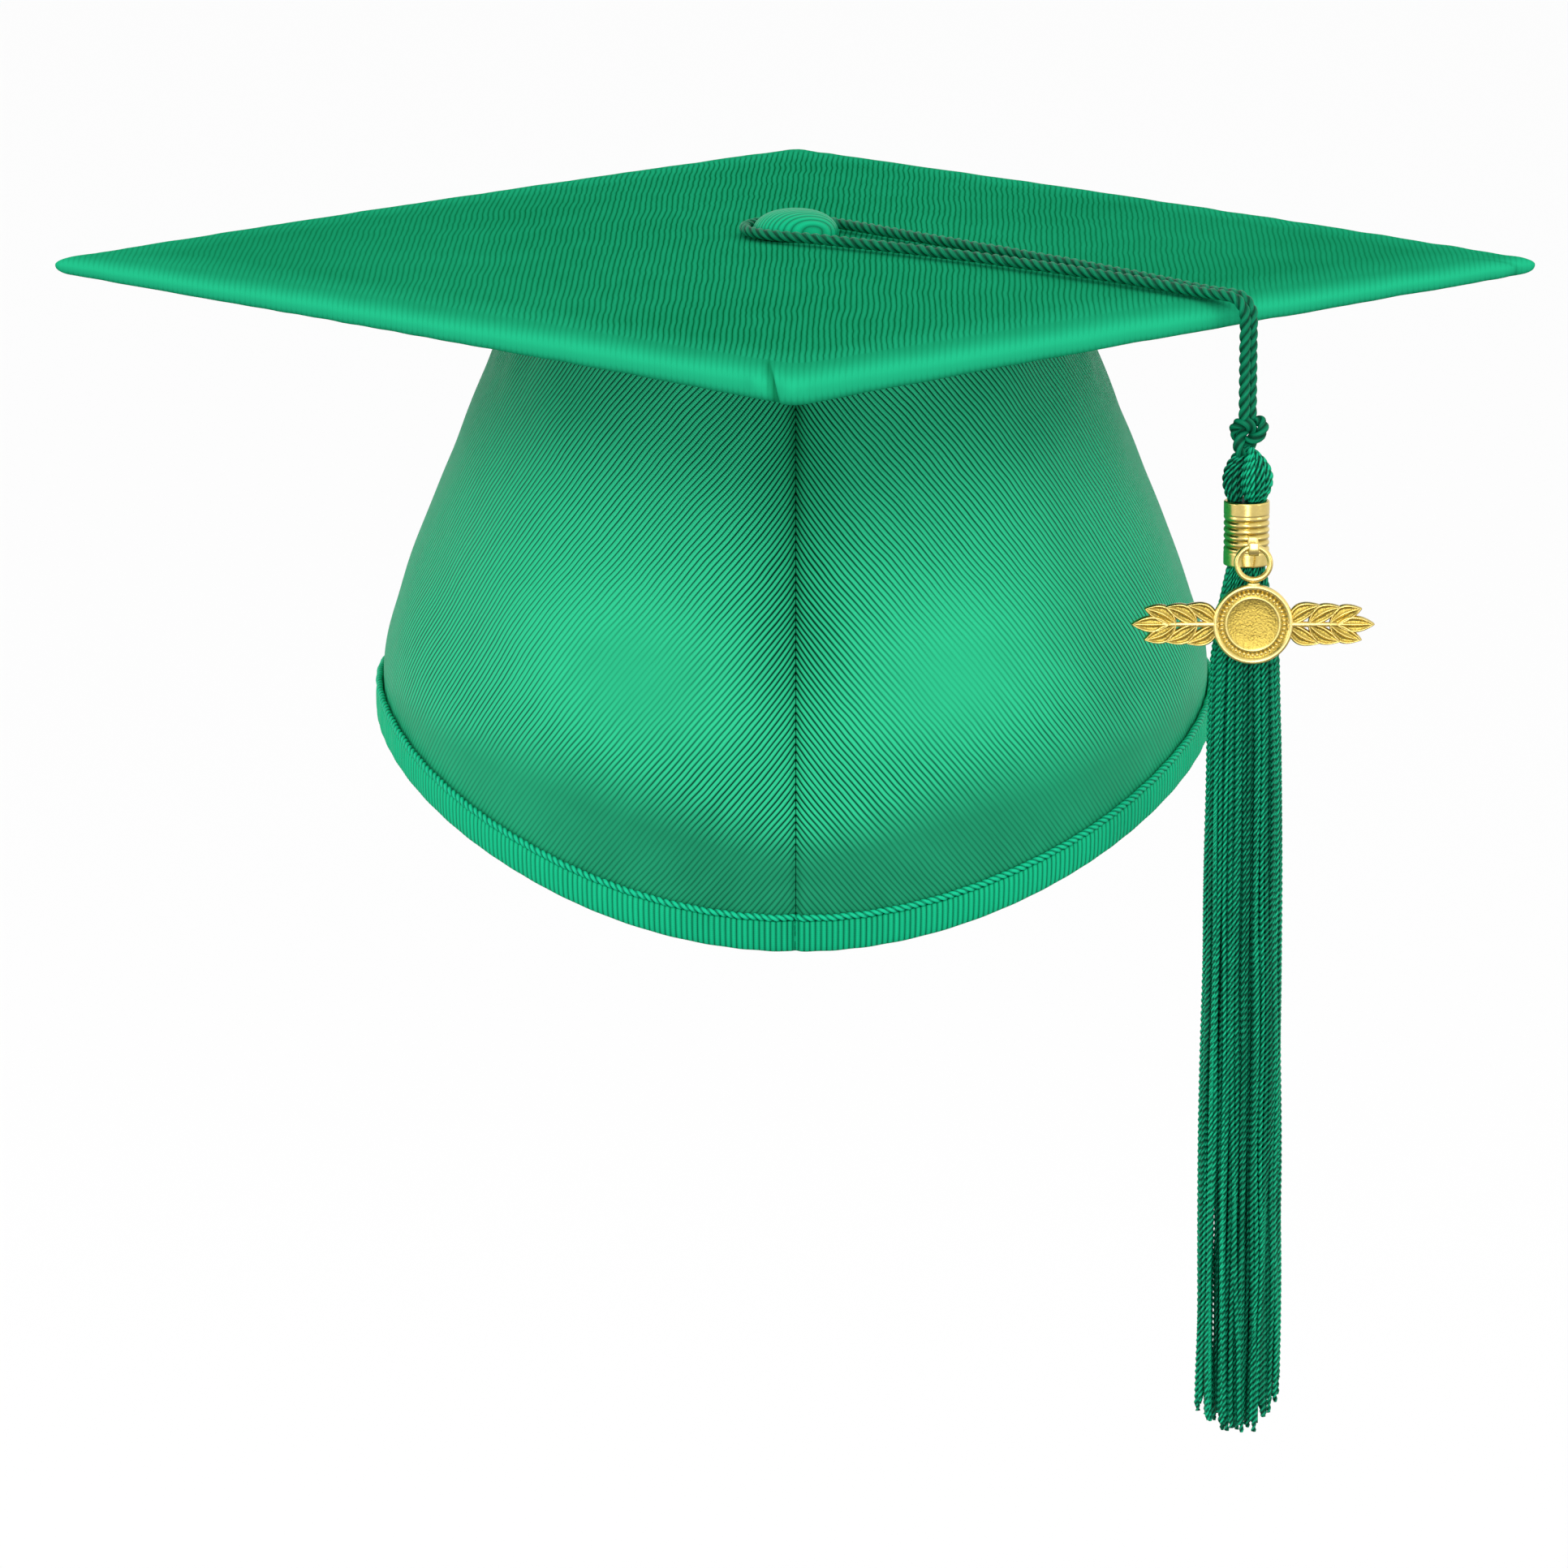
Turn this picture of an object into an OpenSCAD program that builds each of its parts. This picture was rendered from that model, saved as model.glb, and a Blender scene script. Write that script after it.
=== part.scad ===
// Graduation cap: a padded square board sewn on a soft crown, with a fabric button,
// a looped cord, a gold-ferruled tassel and a cast charm.
// Millimetres, +Z up. The board's front corner points along -Y.
// The origin is the centre of the head opening, level with the rim at the sides.

/* [Board] */
// Side length of the square board
board_side = 241.3; // [200:0.1:260]
// Height of the board's top edge above the origin
board_top_z = 107; // [100:0.5:115]
// Thickness of the board at its edge, covers included
board_edge_t = 6; // [5:0.5:8]
// Radius of the board's corners in plan
board_corner_r = 3.5; // [2:0.5:6]
// How far the padding swells above the edge at the middle
pad_swell = 3.5; // [1:0.5:6]
// Thickness of the stiff core
core_t = 2.4; // [1.5:0.1:3]

/* [Crown] */
// Half width of the crown at its widest
crown_half_w = 95; // [85:1:105]
// Front to back depth of the crown as a share of its width
crown_depth_ratio = 1.045; // [1:0.005:1.1]
// Height at which the crown is widest
crown_widest_z = 9; // [0:1:20]
// Share of its width that the crown loses by the top
crown_taper = 0.412; // [0.2:0.004:0.48]
// How gradually the crown starts to taper, 0 being a straight cone
crown_round = 0.18; // [0.1:0.01:0.5]
// Thickness of each fabric layer
fabric_t = 0.8; // [0.4:0.1:1.2]
// Depth of the front seam's valley at the top, as a share of the radius
seam_depth = 0.075; // [0:0.005:0.1]

/* [Rim] */
// Height of the band along the rim
band_h = 7; // [4:0.5:12]
// Diameter of the piping on the band's top edge
piping_d = 1.5; // [1:0.1:2.5]
// Height of the sweatband inside
sweatband_h = 26; // [15:1:30]

/* [Button] */
// Radius of the covered button
button_r = 10; // [8:0.5:12]
// Height of the covered button
button_h = 6; // [4:0.5:8]

/* [Cord and tassel] */
// Diameter of the cord
cord_d = 2.6; // [2:0.1:3]
// Direction in which the cord leaves the button, in degrees from +X
cord_angle = -38; // [-52:1:-38]
// Diameter of the knot
knot_d = 8.8; // [7:0.1:10]
// Outer radius of the ferrule
ferrule_r = 5.15; // [4.8:0.05:6]
// Length of the ferrule
ferrule_h = 14.5; // [10:0.5:18]
// Length of the loose skirt
skirt_l = 200; // [120:5:220]

/* [Charm] */
// Width of the charm across its two sprays
charm_w = 54; // [44:1:56]
// Radius of the charm's medallion
medallion_r = 9; // [7:0.5:10]
// Thickness of the charm
charm_t = 2; // [1.2:0.1:2]
// Outer radius of the ring that the charm hangs by
ring_r = 4.35; // [4:0.05:5]
// Diameter of the ring's wire
ring_wire = 1.3; // [1:0.1:1.5]

/* [Hidden] */
$fn = 64;

satin = [0.06, 0.50, 0.33];
satin_dark = [0.02, 0.34, 0.22];
lining = [0.10, 0.32, 0.22];
gold = [0.85, 0.66, 0.22];
steel = [0.72, 0.72, 0.70];

gap = 0.1; // between pieces that lie against each other
gap_moving = 0.3; // between pieces that move past each other
gap_layers = 0.6; // between layers of the crown whose sections differ
board_half = board_side / 2;
board_bottom_z = board_top_z - board_edge_t;
bottom_cover_t = 0.6;
core_z = board_bottom_z + bottom_cover_t + 2 * gap;
core_half = board_half - 2;
shank_r = 1.5;
crown_top_z = board_bottom_z - 2 * gap;

// How far each layer of the crown lies outside the crown's outer surface
panel_in = -fabric_t;
interfacing_out = panel_in - 2 * gap;
interfacing_in = interfacing_out - fabric_t;
tape_out = interfacing_in - gap_layers;
tape_in = tape_out - fabric_t;
sweatband_in = tape_out - 1;
elastic_out = sweatband_in - gap_layers;
elastic_in = elastic_out - 1;
band_in = gap;
band_out = band_in + fabric_t;

// ---- Lofted solids ----

// A solid through sections of equal, even point counts. Each section runs counter-clockwise
// as seen against the direction of travel. A closed loft joins its last section to its first.
module loft(sections, closed = false) {
    n = len(sections[0]);
    m = len(sections);
    spans = closed ? m : m - 1;
    sides = [
        for (k = [0 : spans - 1], j = [0 : n - 1])
            let (a = k * n + j, b = k * n + (j + 1) % n)
            let (next = ((k + 1) % m) * n)
            let (c = next + (j + 1) % n, d = next + j)
            each [[a, c, b], [a, d, c]]
    ];
    last = (m - 1) * n;
    caps = closed ? [] : [
        for (j = [0 : n / 2 - 2])
            let (a = j, b = j + 1, c = n - 2 - j, d = n - 1 - j)
            each [
                [a, b, c], [a, c, d],
                [last + a, last + c, last + b], [last + a, last + d, last + c]
            ]
    ];
    polyhedron(points = [for (s = sections) each s], faces = concat(sides, caps), convexity = 10);
}

// The direction along a path at its point i
function heading(path, i) =
    let (d = path[min(i + 1, len(path) - 1)] - path[max(i - 1, 0)])
    d / norm(d);

// One ring of a tube, square to its path. No path here runs along the side vector's own line.
function tube_ring(centre, along, r, sides, side) =
    let (u = cross(along, side) / norm(cross(along, side)))
    let (v = cross(along, u))
    [for (s = [0 : sides - 1]) centre + r * (cos(360 * s / sides) * u + sin(360 * s / sides) * v)];

module tube(path, r, side = [0, 0, 1], sides = 8) {
    loft([
        for (i = [0 : len(path) - 1]) tube_ring(path[i], heading(path, i), r, sides, side)
    ]);
}

// ---- Board ----

// The angle at which a side's straight run ends and its rounded corner starts
corner_angle = atan((board_half - board_corner_r) / board_half);
side_angles = concat([-corner_angle], [for (a = [-35 : 10 : 35]) a], [corner_angle, 45]);
outline_angles = [for (quarter = [0 : 90 : 270]) each [for (a = side_angles) quarter + a]];
disc_half = 15; // the outline is a circle inside this half width
square_half = 100; // and a full square outside this one

// Distance from the middle to a rounded square's outline
function square_reach(half, angle) =
    let (turn = abs((angle + 405) % 90 - 45))
    turn > corner_angle
        ? half * (sqrt(2) * (board_half - board_corner_r) + board_corner_r) / board_half
        : half / cos(turn);

// An outline of the board at one half width and height, with the padding's swell added
function board_outline(half, z, swell) = [
    for (angle = outline_angles)
        let (share = max(0, min(1, (half - disc_half) / (square_half - disc_half))))
        let (reach = share * square_reach(half, angle) + (1 - share) * half)
        let (x = reach * cos(angle), y = reach * sin(angle))
        let (u = min(1, abs(x) / dome_half), v = min(1, abs(y) / dome_half))
        [x, y, z + swell * (1 - u * u) * (1 - v * v)]
];

dome_half = board_half - 2.25; // where the swell starts
dome_steps = [112, 100, 85, 70, 50, 30, 15];

module board_shape() {
    side = 2 * core_half;
    square([side, side - 2 * board_corner_r], center = true);
    square([side - 2 * board_corner_r, side], center = true);
    for (x = [-1, 1], y = [-1, 1])
        translate([x, y] * (core_half - board_corner_r))
            circle(r = board_corner_r);
}

// Stiff core board, with a bore for the button's shank
module board_core() {
    color("dimgray")
        translate([0, 0, core_z])
            rotate(45)
                linear_extrude(core_t)
                    difference() {
                        board_shape();
                        circle(r = shank_r + gap);
                    }
}

// Fabric sheet over the board's underside
module board_bottom_cover() {
    color(satin_dark)
        translate([0, 0, board_bottom_z])
            rotate(45)
                linear_extrude(bottom_cover_t)
                    difference() {
                        board_shape();
                        circle(r = shank_r + 2 * gap);
                    }
}

// Wadding on the core, swelling to the middle
module board_padding() {
    base = core_z + core_t + gap;
    top = board_top_z - fabric_t - 2 * gap;
    hole = shank_r + 0.9;
    color("white")
        rotate(45)
            loft(concat(
                [
                    board_outline(hole, base, 0),
                    board_outline(core_half - 0.2, base, 0),
                    board_outline(core_half, base + 0.6, 0),
                    board_outline(core_half - 0.5, top - 0.4, 0),
                    board_outline(dome_half - 1.2, top, pad_swell)
                ],
                [for (half = dome_steps) board_outline(half, top, pad_swell)],
                [board_outline(hole, top, pad_swell)]
            ), closed = true);
}

// Fabric cover that wraps the padding and the rolled edge
module board_top_cover() {
    hole = shank_r + 0.7;
    inner = fabric_t;
    color(satin)
        rotate(45)
            loft(concat(
                [
                    board_outline(board_half - 0.7, board_bottom_z, 0),
                    board_outline(board_half, board_bottom_z + 1.6, 0),
                    board_outline(board_half, board_top_z - 2.6, 0),
                    board_outline(board_half - 0.6, board_top_z - 1, 0),
                    board_outline(dome_half, board_top_z, pad_swell)
                ],
                [for (half = dome_steps) board_outline(half, board_top_z, pad_swell)],
                [
                    board_outline(hole, board_top_z, pad_swell),
                    board_outline(hole, board_top_z - inner, pad_swell)
                ],
                [
                    for (i = [len(dome_steps) - 1 : -1 : 0])
                        board_outline(dome_steps[i], board_top_z - inner, pad_swell)
                ],
                [
                    board_outline(dome_half - 0.3, board_top_z - inner, pad_swell),
                    board_outline(board_half - 1.35, board_top_z - 1.5, 0),
                    board_outline(board_half - inner, board_top_z - 2.6, 0),
                    board_outline(board_half - inner, board_bottom_z + 1.6, 0),
                    board_outline(board_half - 0.7 - inner, board_bottom_z, 0)
                ]
            ), closed = true);
}

// ---- Crown ----

// Height of the rim, dipping at the front and a little at the back. Angles start at the front.
function rim_z(angle) = -12 - 11 * cos(angle) - 12 * cos(2 * angle);

// Half width of the crown at a height
function crown_reach(z) =
    let (climb = (z - crown_widest_z) / (board_bottom_z - crown_widest_z))
    climb > 0
        ? crown_half_w * (1 - crown_taper * (norm([climb, crown_round]) - crown_round))
        : crown_half_w * (1 - 0.08 * climb * climb);

// How the front seam pulls the crown in, and the lobes beside it stand out, more so near the top
function crown_fold(angle, z) =
    let (turn = min(angle, 360 - angle))
    let (rise = max(0, min(1, (z + 20) / 100)))
    1 - seam_depth * (0.15 + 0.85 * rise) * exp(-pow(turn / 13, 2))
        + 0.03 * rise * exp(-pow((turn - 38) / 20, 2));

// A point on the crown's surface, out mm outside it
function crown_point(angle, z, out) =
    let (reach = crown_reach(z) * crown_fold(angle, z))
    [
        (reach + out) * sin(angle),
        -(reach * crown_depth_ratio + out) * cos(angle),
        z
    ];

// A standing strip of the crown, from one angle to another and between two heights above the rim.
// A top of 0 runs it up to the board.
function crown_strip(angles, low, high, inner, outer, rows) = [
    for (angle = angles)
        let (foot = rim_z(angle) + low)
        let (head = high == 0 ? crown_top_z : rim_z(angle) + high)
        concat(
            [for (r = [0 : rows]) crown_point(angle, foot + (head - foot) * r / rows, inner)],
            [for (r = [rows : -1 : 0]) crown_point(angle, foot + (head - foot) * r / rows, outer)]
        )
];

// Angles of the crown's sections, closer together at the front seam
side_turn = [for (a = [4 : 4 : 28]) a, for (a = [35 : 7 : 175]) a];
half_turn = concat([0.15], side_turn, [179.85]);
full_turn = concat([0], side_turn, [180], [for (i = [len(side_turn) - 1 : -1 : 0]) 360 - side_turn[i]]);
back_turn = [for (a = full_turn) if (abs(a - 180) < 36) a];
panel_rows = 14;
panel_foot = 0.5; // the panels stop just above the band's lower edge

module crown_panel() {
    loft(crown_strip(half_turn, panel_foot, 0, panel_in, 0, panel_rows));
}

// Fabric half of the crown on -X
module crown_panel_left() {
    color(satin)
        mirror([1, 0, 0])
            crown_panel();
}

// Fabric half of the crown on +X
module crown_panel_right() {
    color(satin)
        crown_panel();
}

// Stiff interfacing that backs both panels
module crown_interfacing() {
    color(lining)
        loft(crown_strip(
            full_turn, panel_foot, 0, interfacing_in, interfacing_out, panel_rows
        ), closed = true);
}

// Tape over the front seam's allowance, inside
module front_seam_tape() {
    color(lining)
        loft(crown_strip(
            [356, 360, 364], sweatband_h + 3, 0, tape_in, tape_out, panel_rows
        ));
}

// Tape over the back seam's allowance, inside
module back_seam_tape() {
    color(lining)
        loft(crown_strip(
            [175, 180, 185], sweatband_h + 3, 0, tape_in, tape_out, panel_rows
        ));
}

flange_w = 10; // how far the flange turns in under the board
flange_t = 0.8;
flange_top = board_bottom_z - gap;
flange_out = tape_in - gap;

// A point of the flange, level with its top or lower
function flange_point(angle, out, drop) =
    crown_point(angle, flange_top, out) - [0, 0, drop];

// Allowance of the crown, turned in under the board and sewn to it
module crown_top_flange() {
    color(lining)
        loft([
            for (angle = full_turn)
                [
                    flange_point(angle, flange_out - flange_w, flange_t),
                    flange_point(angle, flange_out - flange_w, 0),
                    flange_point(angle, flange_out, 0),
                    flange_point(angle, flange_out, flange_t)
                ]
        ], closed = true);
}

stitch_count = 24;
stitch_l = 6;
stitch_r = 0.35;

// Stitches that hold the flange to the board
module flange_stitches() {
    color("darkseagreen")
        for (i = [0 : stitch_count - 1]) {
            angle = (i + 0.5) * 360 / stitch_count;
            centre = flange_point(angle, flange_out - flange_w / 2, flange_t + stitch_r + 0.02);
            translate(centre)
                rotate([0, 90, angle])
                    cylinder(r = stitch_r, h = stitch_l, center = true);
        }
}

// ---- Rim ----

// Band of fabric round the rim
module rim_band() {
    color(satin)
        loft([
            for (angle = full_turn)
                let (foot = rim_z(angle))
                [
                    crown_point(angle, foot, band_in),
                    crown_point(angle, foot + band_h, band_in),
                    crown_point(angle, foot + band_h - 0.3, band_out),
                    crown_point(angle, foot + band_h / 2, band_out + 0.3),
                    crown_point(angle, foot + 0.4, band_out),
                    crown_point(angle, foot, band_out - 0.4)
                ]
        ], closed = true);
}

// Piping along the band's top edge
module rim_piping() {
    r = piping_d / 2;
    color(satin_dark)
        loft([
            for (angle = full_turn)
                let (centre = crown_point(angle, rim_z(angle) + band_h + r + gap, gap + r))
                let (away = [sin(angle), -cos(angle), 0])
                [for (s = [0 : 5]) centre + r * (-cos(60 * s) * away + [0, 0, sin(60 * s)])]
        ], closed = true);
}

// Sweatband round the inside of the rim
module sweatband() {
    color("tan")
        loft(crown_strip(full_turn, 1, sweatband_h, sweatband_in, tape_out, 2), closed = true);
}

elastic_z = 4; // above the rim
elastic_h = 12;

// Elastic that draws in the back of the head opening
module back_elastic() {
    color("whitesmoke")
        loft(crown_strip(
            back_turn, elastic_z, elastic_z + elastic_h, elastic_in, elastic_out, 1
        ));
}

// ---- Button ----

button_z = board_top_z + pad_swell + gap;
button_skin = 0.6;
shell_r = button_r - button_skin - gap;
shell_h = button_h - button_skin - gap;
shell_t = 0.6;
back_t = 1;
washer_r = 8;
washer_t = 0.8;
washer_z = board_bottom_z - gap - washer_t;

// Outline of a shallow dome with a rounded shoulder, from its middle to its foot
function dome_outline(r, h, steps = 12) = [
    for (i = [0 : steps])
        let (a = 90 * i / steps)
        [r * pow(sin(a), 0.8), h * pow(cos(a), 0.9)]
];

// A domed cap with a level foot
module dome_cap(r, h, t) {
    rotate_extrude()
        polygon(concat(
            dome_outline(r, h),
            [for (i = [12 : -1 : 0]) dome_outline(r - t, h - t)[i]]
        ));
}

// Fabric over the button
module button_cover() {
    color(satin)
        translate([0, 0, button_z])
            dome_cap(button_r, button_h, button_skin);
}

// Pressed metal shell of the button
module button_shell() {
    color(steel)
        translate([0, 0, button_z])
            dome_cap(shell_r, shell_h, shell_t);
}

// Back plate that holds the fabric in the shell
module button_back() {
    color(steel)
        translate([0, 0, button_z])
            difference() {
                cylinder(r = shell_r - shell_t - 0.4, h = back_t);
                translate([0, 0, -1])
                    cylinder(r = shank_r + 0.05, h = back_t + 2);
            }
}

// Shank through the board, with a head in the button and a spread foot below
module button_shank() {
    head_z = button_z + back_t + 0.05;
    foot_z = washer_z - gap;
    color(steel) {
        translate([0, 0, foot_z - 0.3])
            cylinder(r = shank_r, h = head_z - foot_z + 0.8);
        translate([0, 0, head_z])
            cylinder(r = 3, h = 0.8);
        translate([0, 0, foot_z - 0.8])
            cylinder(r = 2.6, h = 0.8);
    }
}

// Washer under the board
module button_washer() {
    color(steel)
        translate([0, 0, washer_z])
            difference() {
                cylinder(r = washer_r, h = washer_t);
                translate([0, 0, -1])
                    cylinder(r = shank_r + 0.1, h = washer_t + 2);
            }
}

// ---- Cord ----

// Half of the cord's loop: along the cord's direction, out to one side, and up
CORD_ROUTE = [
    [-11.6, 0, 112.1], [-10.0, 5.9, 112.1], [-5.8, 10.0, 112.1], [0, 11.6, 112.1],
    [6, 11.2, 112.1], [13, 10.0, 112.1], [20, 8.9, 112.0], [27, 8.0, 111.9],
    [34, 7.2, 111.8], [41, 6.5, 111.7], [48, 5.8, 111.5], [55, 5.2, 111.4],
    [62, 4.6, 111.2], [69, 4.1, 111.0], [76, 3.6, 110.8], [83, 3.1, 110.5],
    [90, 2.6, 110.2], [97, 2.2, 109.9], [104, 1.8, 109.5], [110, 1.5, 109.1],
    [116, 1.4, 108.8], [122.4, 1.4, 108.7]
];
bend_r = 4.5; // of the cord over the board's edge
bend_middle = [122.5, 104.2]; // along the cord's direction, and up
drop_reach = bend_middle.x + bend_r;
strand_out = cord_d / 2 + 0.1;
knot_z = 78;

// A point given along the cord's direction, to one side and up
function cord_point(p) = [
    p.x * cos(cord_angle) - p.y * sin(cord_angle),
    p.x * sin(cord_angle) + p.y * cos(cord_angle),
    p.z
];
tassel_x = cord_point([drop_reach, 0, 0]).x;
tassel_y = cord_point([drop_reach, 0, 0]).y;

// Both strands and the loop round the button
module cord_loop() {
    last = len(CORD_ROUTE) - 1;
    path = concat(
        [for (i = [last : -1 : 1]) cord_point([CORD_ROUTE[i].x, -CORD_ROUTE[i].y, CORD_ROUTE[i].z])],
        [for (i = [0 : last]) cord_point(CORD_ROUTE[i])]
    );
    color(satin_dark)
        tube(path, cord_d / 2);
}

// Both strands where they bend over the board's edge
module cord_bend() {
    color(satin_dark)
        for (side = [-strand_out, strand_out])
            loft([
                for (a = [90 : -30 : 0])
                    let (x = bend_middle.x + bend_r * cos(a), z = bend_middle.y + bend_r * sin(a))
                    tube_ring(
                        cord_point([x, side, z]), cord_point([sin(a), 0, -cos(a)]),
                        cord_d / 2, 8, cord_point([0, 1, 0])
                    )
            ]);
}

// Both strands from the bend down to the knot
module cord_drop() {
    foot = knot_z + knot_d / 2;
    top = bend_middle.y - 0.05;
    color(satin_dark)
        for (side = [-strand_out, strand_out])
            tube(
                [
                    for (z = [top, (top + foot) / 2, foot])
                        cord_point([drop_reach, side, z])
                ],
                cord_d / 2, side = [0, 1, 0]
            );
}

// Knot that joins the strands to the tassel
module cord_knot() {
    color(satin_dark)
        translate([tassel_x, tassel_y, knot_z])
            sphere(r = knot_d / 2 - 0.05);
}

// ---- Tassel ----

head_top = knot_z - knot_d / 2 - gap_moving;
head_h = 10;
ferrule_top = head_top - head_h - gap;
ferrule_foot = ferrule_top - ferrule_h;
ferrule_bore = ferrule_r - 0.75;

// Place children on the tassel's axis, at a height
module on_tassel(z) {
    translate([tassel_x, tassel_y, z])
        children();
}

// One lobe of looped yarn, with a round top
module head_lobe(x, r) {
    translate([x, 0, 0]) {
        cylinder(r = r, h = head_h - r);
        translate([0, 0, head_h - r])
            sphere(r = r);
    }
}

// Two lobes of looped yarn above the ferrule
module tassel_head() {
    color(satin_dark)
        on_tassel(head_top - head_h) {
            head_lobe(-2.9, 2.7);
            head_lobe(2.6, 3.2);
        }
}

core_r = 3.5;

// Bundle of yarn inside the ferrule
module tassel_core() {
    color(satin_dark)
        on_tassel(ferrule_foot + gap)
            cylinder(r = core_r, h = ferrule_h - 2 * gap);
}

// Thread wound round the bundle, under the ferrule
module tassel_binding() {
    turns = 8;
    wire_r = (ferrule_bore - core_r) / 2 - gap;
    pitch = 2 * wire_r + 0.8;
    color(satin_dark)
        on_tassel(ferrule_foot + 2.5)
            for (i = [0 : turns - 1])
                translate([0, 0, i * pitch])
                    rotate_extrude()
                        translate([core_r + gap + wire_r, 0])
                            circle(r = wire_r, $fn = 16);
}

ridges = 6;
ridge_pitch = 1.45;
ridge_depth = 0.35;

// Metal ferrule with ridges round its middle
module tassel_ferrule() {
    margin = (ferrule_h - ridges * ridge_pitch) / 2;
    color(gold)
        on_tassel(ferrule_foot)
            rotate_extrude()
                polygon(concat(
                    [[ferrule_bore, ferrule_h], [ferrule_bore, 0], [ferrule_r - 0.3, 0], [ferrule_r, 0.4]],
                    [
                        for (i = [0 : ridges - 1])
                            each [
                                [ferrule_r, margin + i * ridge_pitch],
                                [ferrule_r - ridge_depth, margin + (i + 0.5) * ridge_pitch]
                            ]
                    ],
                    [
                        [ferrule_r, ferrule_h - margin], [ferrule_r, ferrule_h - 0.4],
                        [ferrule_r - 0.3, ferrule_h]
                    ]
                ));
}

hook_r = 0.7;
ring_x = 1.2; // of the charm, from the tassel's axis
charm_y = -8.7; // middle of the charm's thickness, from the tassel's axis
hook_z = ferrule_foot + 4;
ring_z = hook_z + hook_r + 0.2 - (ring_r - ring_wire);

// Folded tab at the ferrule's front, which holds the charm's ring
module ferrule_hook() {
    reach = -charm_y + 1.6;
    color(gold)
        on_tassel(hook_z)
            translate([ring_x, 0, 0]) {
                translate([0, -ferrule_r + 0.05, 0])
                    rotate([90, 0, 0])
                        cylinder(r = hook_r, h = reach - ferrule_r);
                translate([0, -reach, 0])
                    sphere(r = hook_r);
                translate([0, -reach, 0])
                    cylinder(r = hook_r, h = 2);
                translate([0, -reach, 2])
                    sphere(r = hook_r);
            }
}

// Skirt of loose yarns: height above its foot, half width and half depth
SKIRT_SECTIONS = [
    [0, 9.4, 7.0], [6, 10, 7.3], [40, 9.8, 7.3], [90, 9.4, 7.2], [130, 9.0, 7.2],
    [160, 8.6, 7.0], [178, 8.0, 6.6], [190, 6.6, 5.8], [197, 5.2, 5.0], [199.8, 4.6, 4.6]
];

module tassel_skirt() {
    color(satin_dark)
        on_tassel(ferrule_foot - skirt_l)
            loft([
                for (s = SKIRT_SECTIONS)
                    [
                        for (a = [0 : 15 : 345])
                            [s[1] * cos(a), s[2] * sin(a), s[0] * skirt_l / 200]
                    ]
            ]);
}

// ---- Charm ----

leaf_l = 8.6;
leaf_w = 4;
rim_w = 0.7; // raised rim of the charm
rim_h = 0.5;
tab_w = 2.8; // of the tab between the medallion and the ring
tab_h = 0.3;
charm_z = ring_z - ring_r - medallion_r - tab_h - 0.05;
spray_l = charm_w / 2;

// A leaf outline from the origin along +X, grown outward by an amount
module leaf(grow = 0) {
    r = (leaf_l * leaf_l + leaf_w * leaf_w) / (4 * leaf_w);
    intersection_for (side = [-1, 1])
        translate([leaf_l / 2, side * (r - leaf_w / 2)])
            circle(r = r + grow);
}

// One spray of leaves along +X, seen from the front
module spray(grow = 0) {
    for (x = [medallion_r - 1.5, medallion_r + 3.2, medallion_r + 7.9], side = [-1, 1])
        translate([x, 0])
            rotate(side * 32)
                leaf(grow);
    translate([spray_l - leaf_l, 0])
        leaf(grow);
    translate([medallion_r - 1, -0.6 - grow])
        square([spray_l - medallion_r - leaf_l + 3, 1.2 + 2 * grow]);
}

// Outline of the whole charm, seen from the front
module charm_outline(grow = 0) {
    circle(r = medallion_r + grow);
    for (turn = [0, 180])
        rotate(turn)
            spray(grow);
    translate([-tab_w / 2 - grow, medallion_r - 1])
        square([tab_w + 2 * grow, 1 + tab_h + grow]);
}

// Cast charm: a blank medallion between two sprays of leaves, with a raised rim
module charm_plate() {
    color(gold)
        on_tassel(charm_z)
            translate([ring_x, charm_y + charm_t / 2, 0])
                rotate([90, 0, 0]) {
                    linear_extrude(charm_t - rim_h)
                        charm_outline();
                    linear_extrude(charm_t)
                        difference() {
                            charm_outline();
                            charm_outline(-rim_w);
                        }
                }
}

// Ring that joins the charm to the ferrule's tab
module charm_ring() {
    color(gold)
        on_tassel(ring_z)
            translate([ring_x, charm_y, 0])
                rotate([90, 0, 0])
                    rotate_extrude()
                        translate([ring_r - ring_wire / 2, 0])
                            circle(r = ring_wire / 2, $fn = 24);
}

board_core();
board_padding();
board_top_cover();
board_bottom_cover();
crown_panel_left();
crown_panel_right();
crown_interfacing();
front_seam_tape();
back_seam_tape();
crown_top_flange();
flange_stitches();
rim_band();
rim_piping();
sweatband();
back_elastic();
button_cover();
button_shell();
button_back();
button_shank();
button_washer();
cord_loop();
cord_bend();
cord_drop();
cord_knot();
tassel_head();
tassel_core();
tassel_binding();
tassel_ferrule();
ferrule_hook();
tassel_skirt();
charm_plate();
charm_ring();
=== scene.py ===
import math

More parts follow.
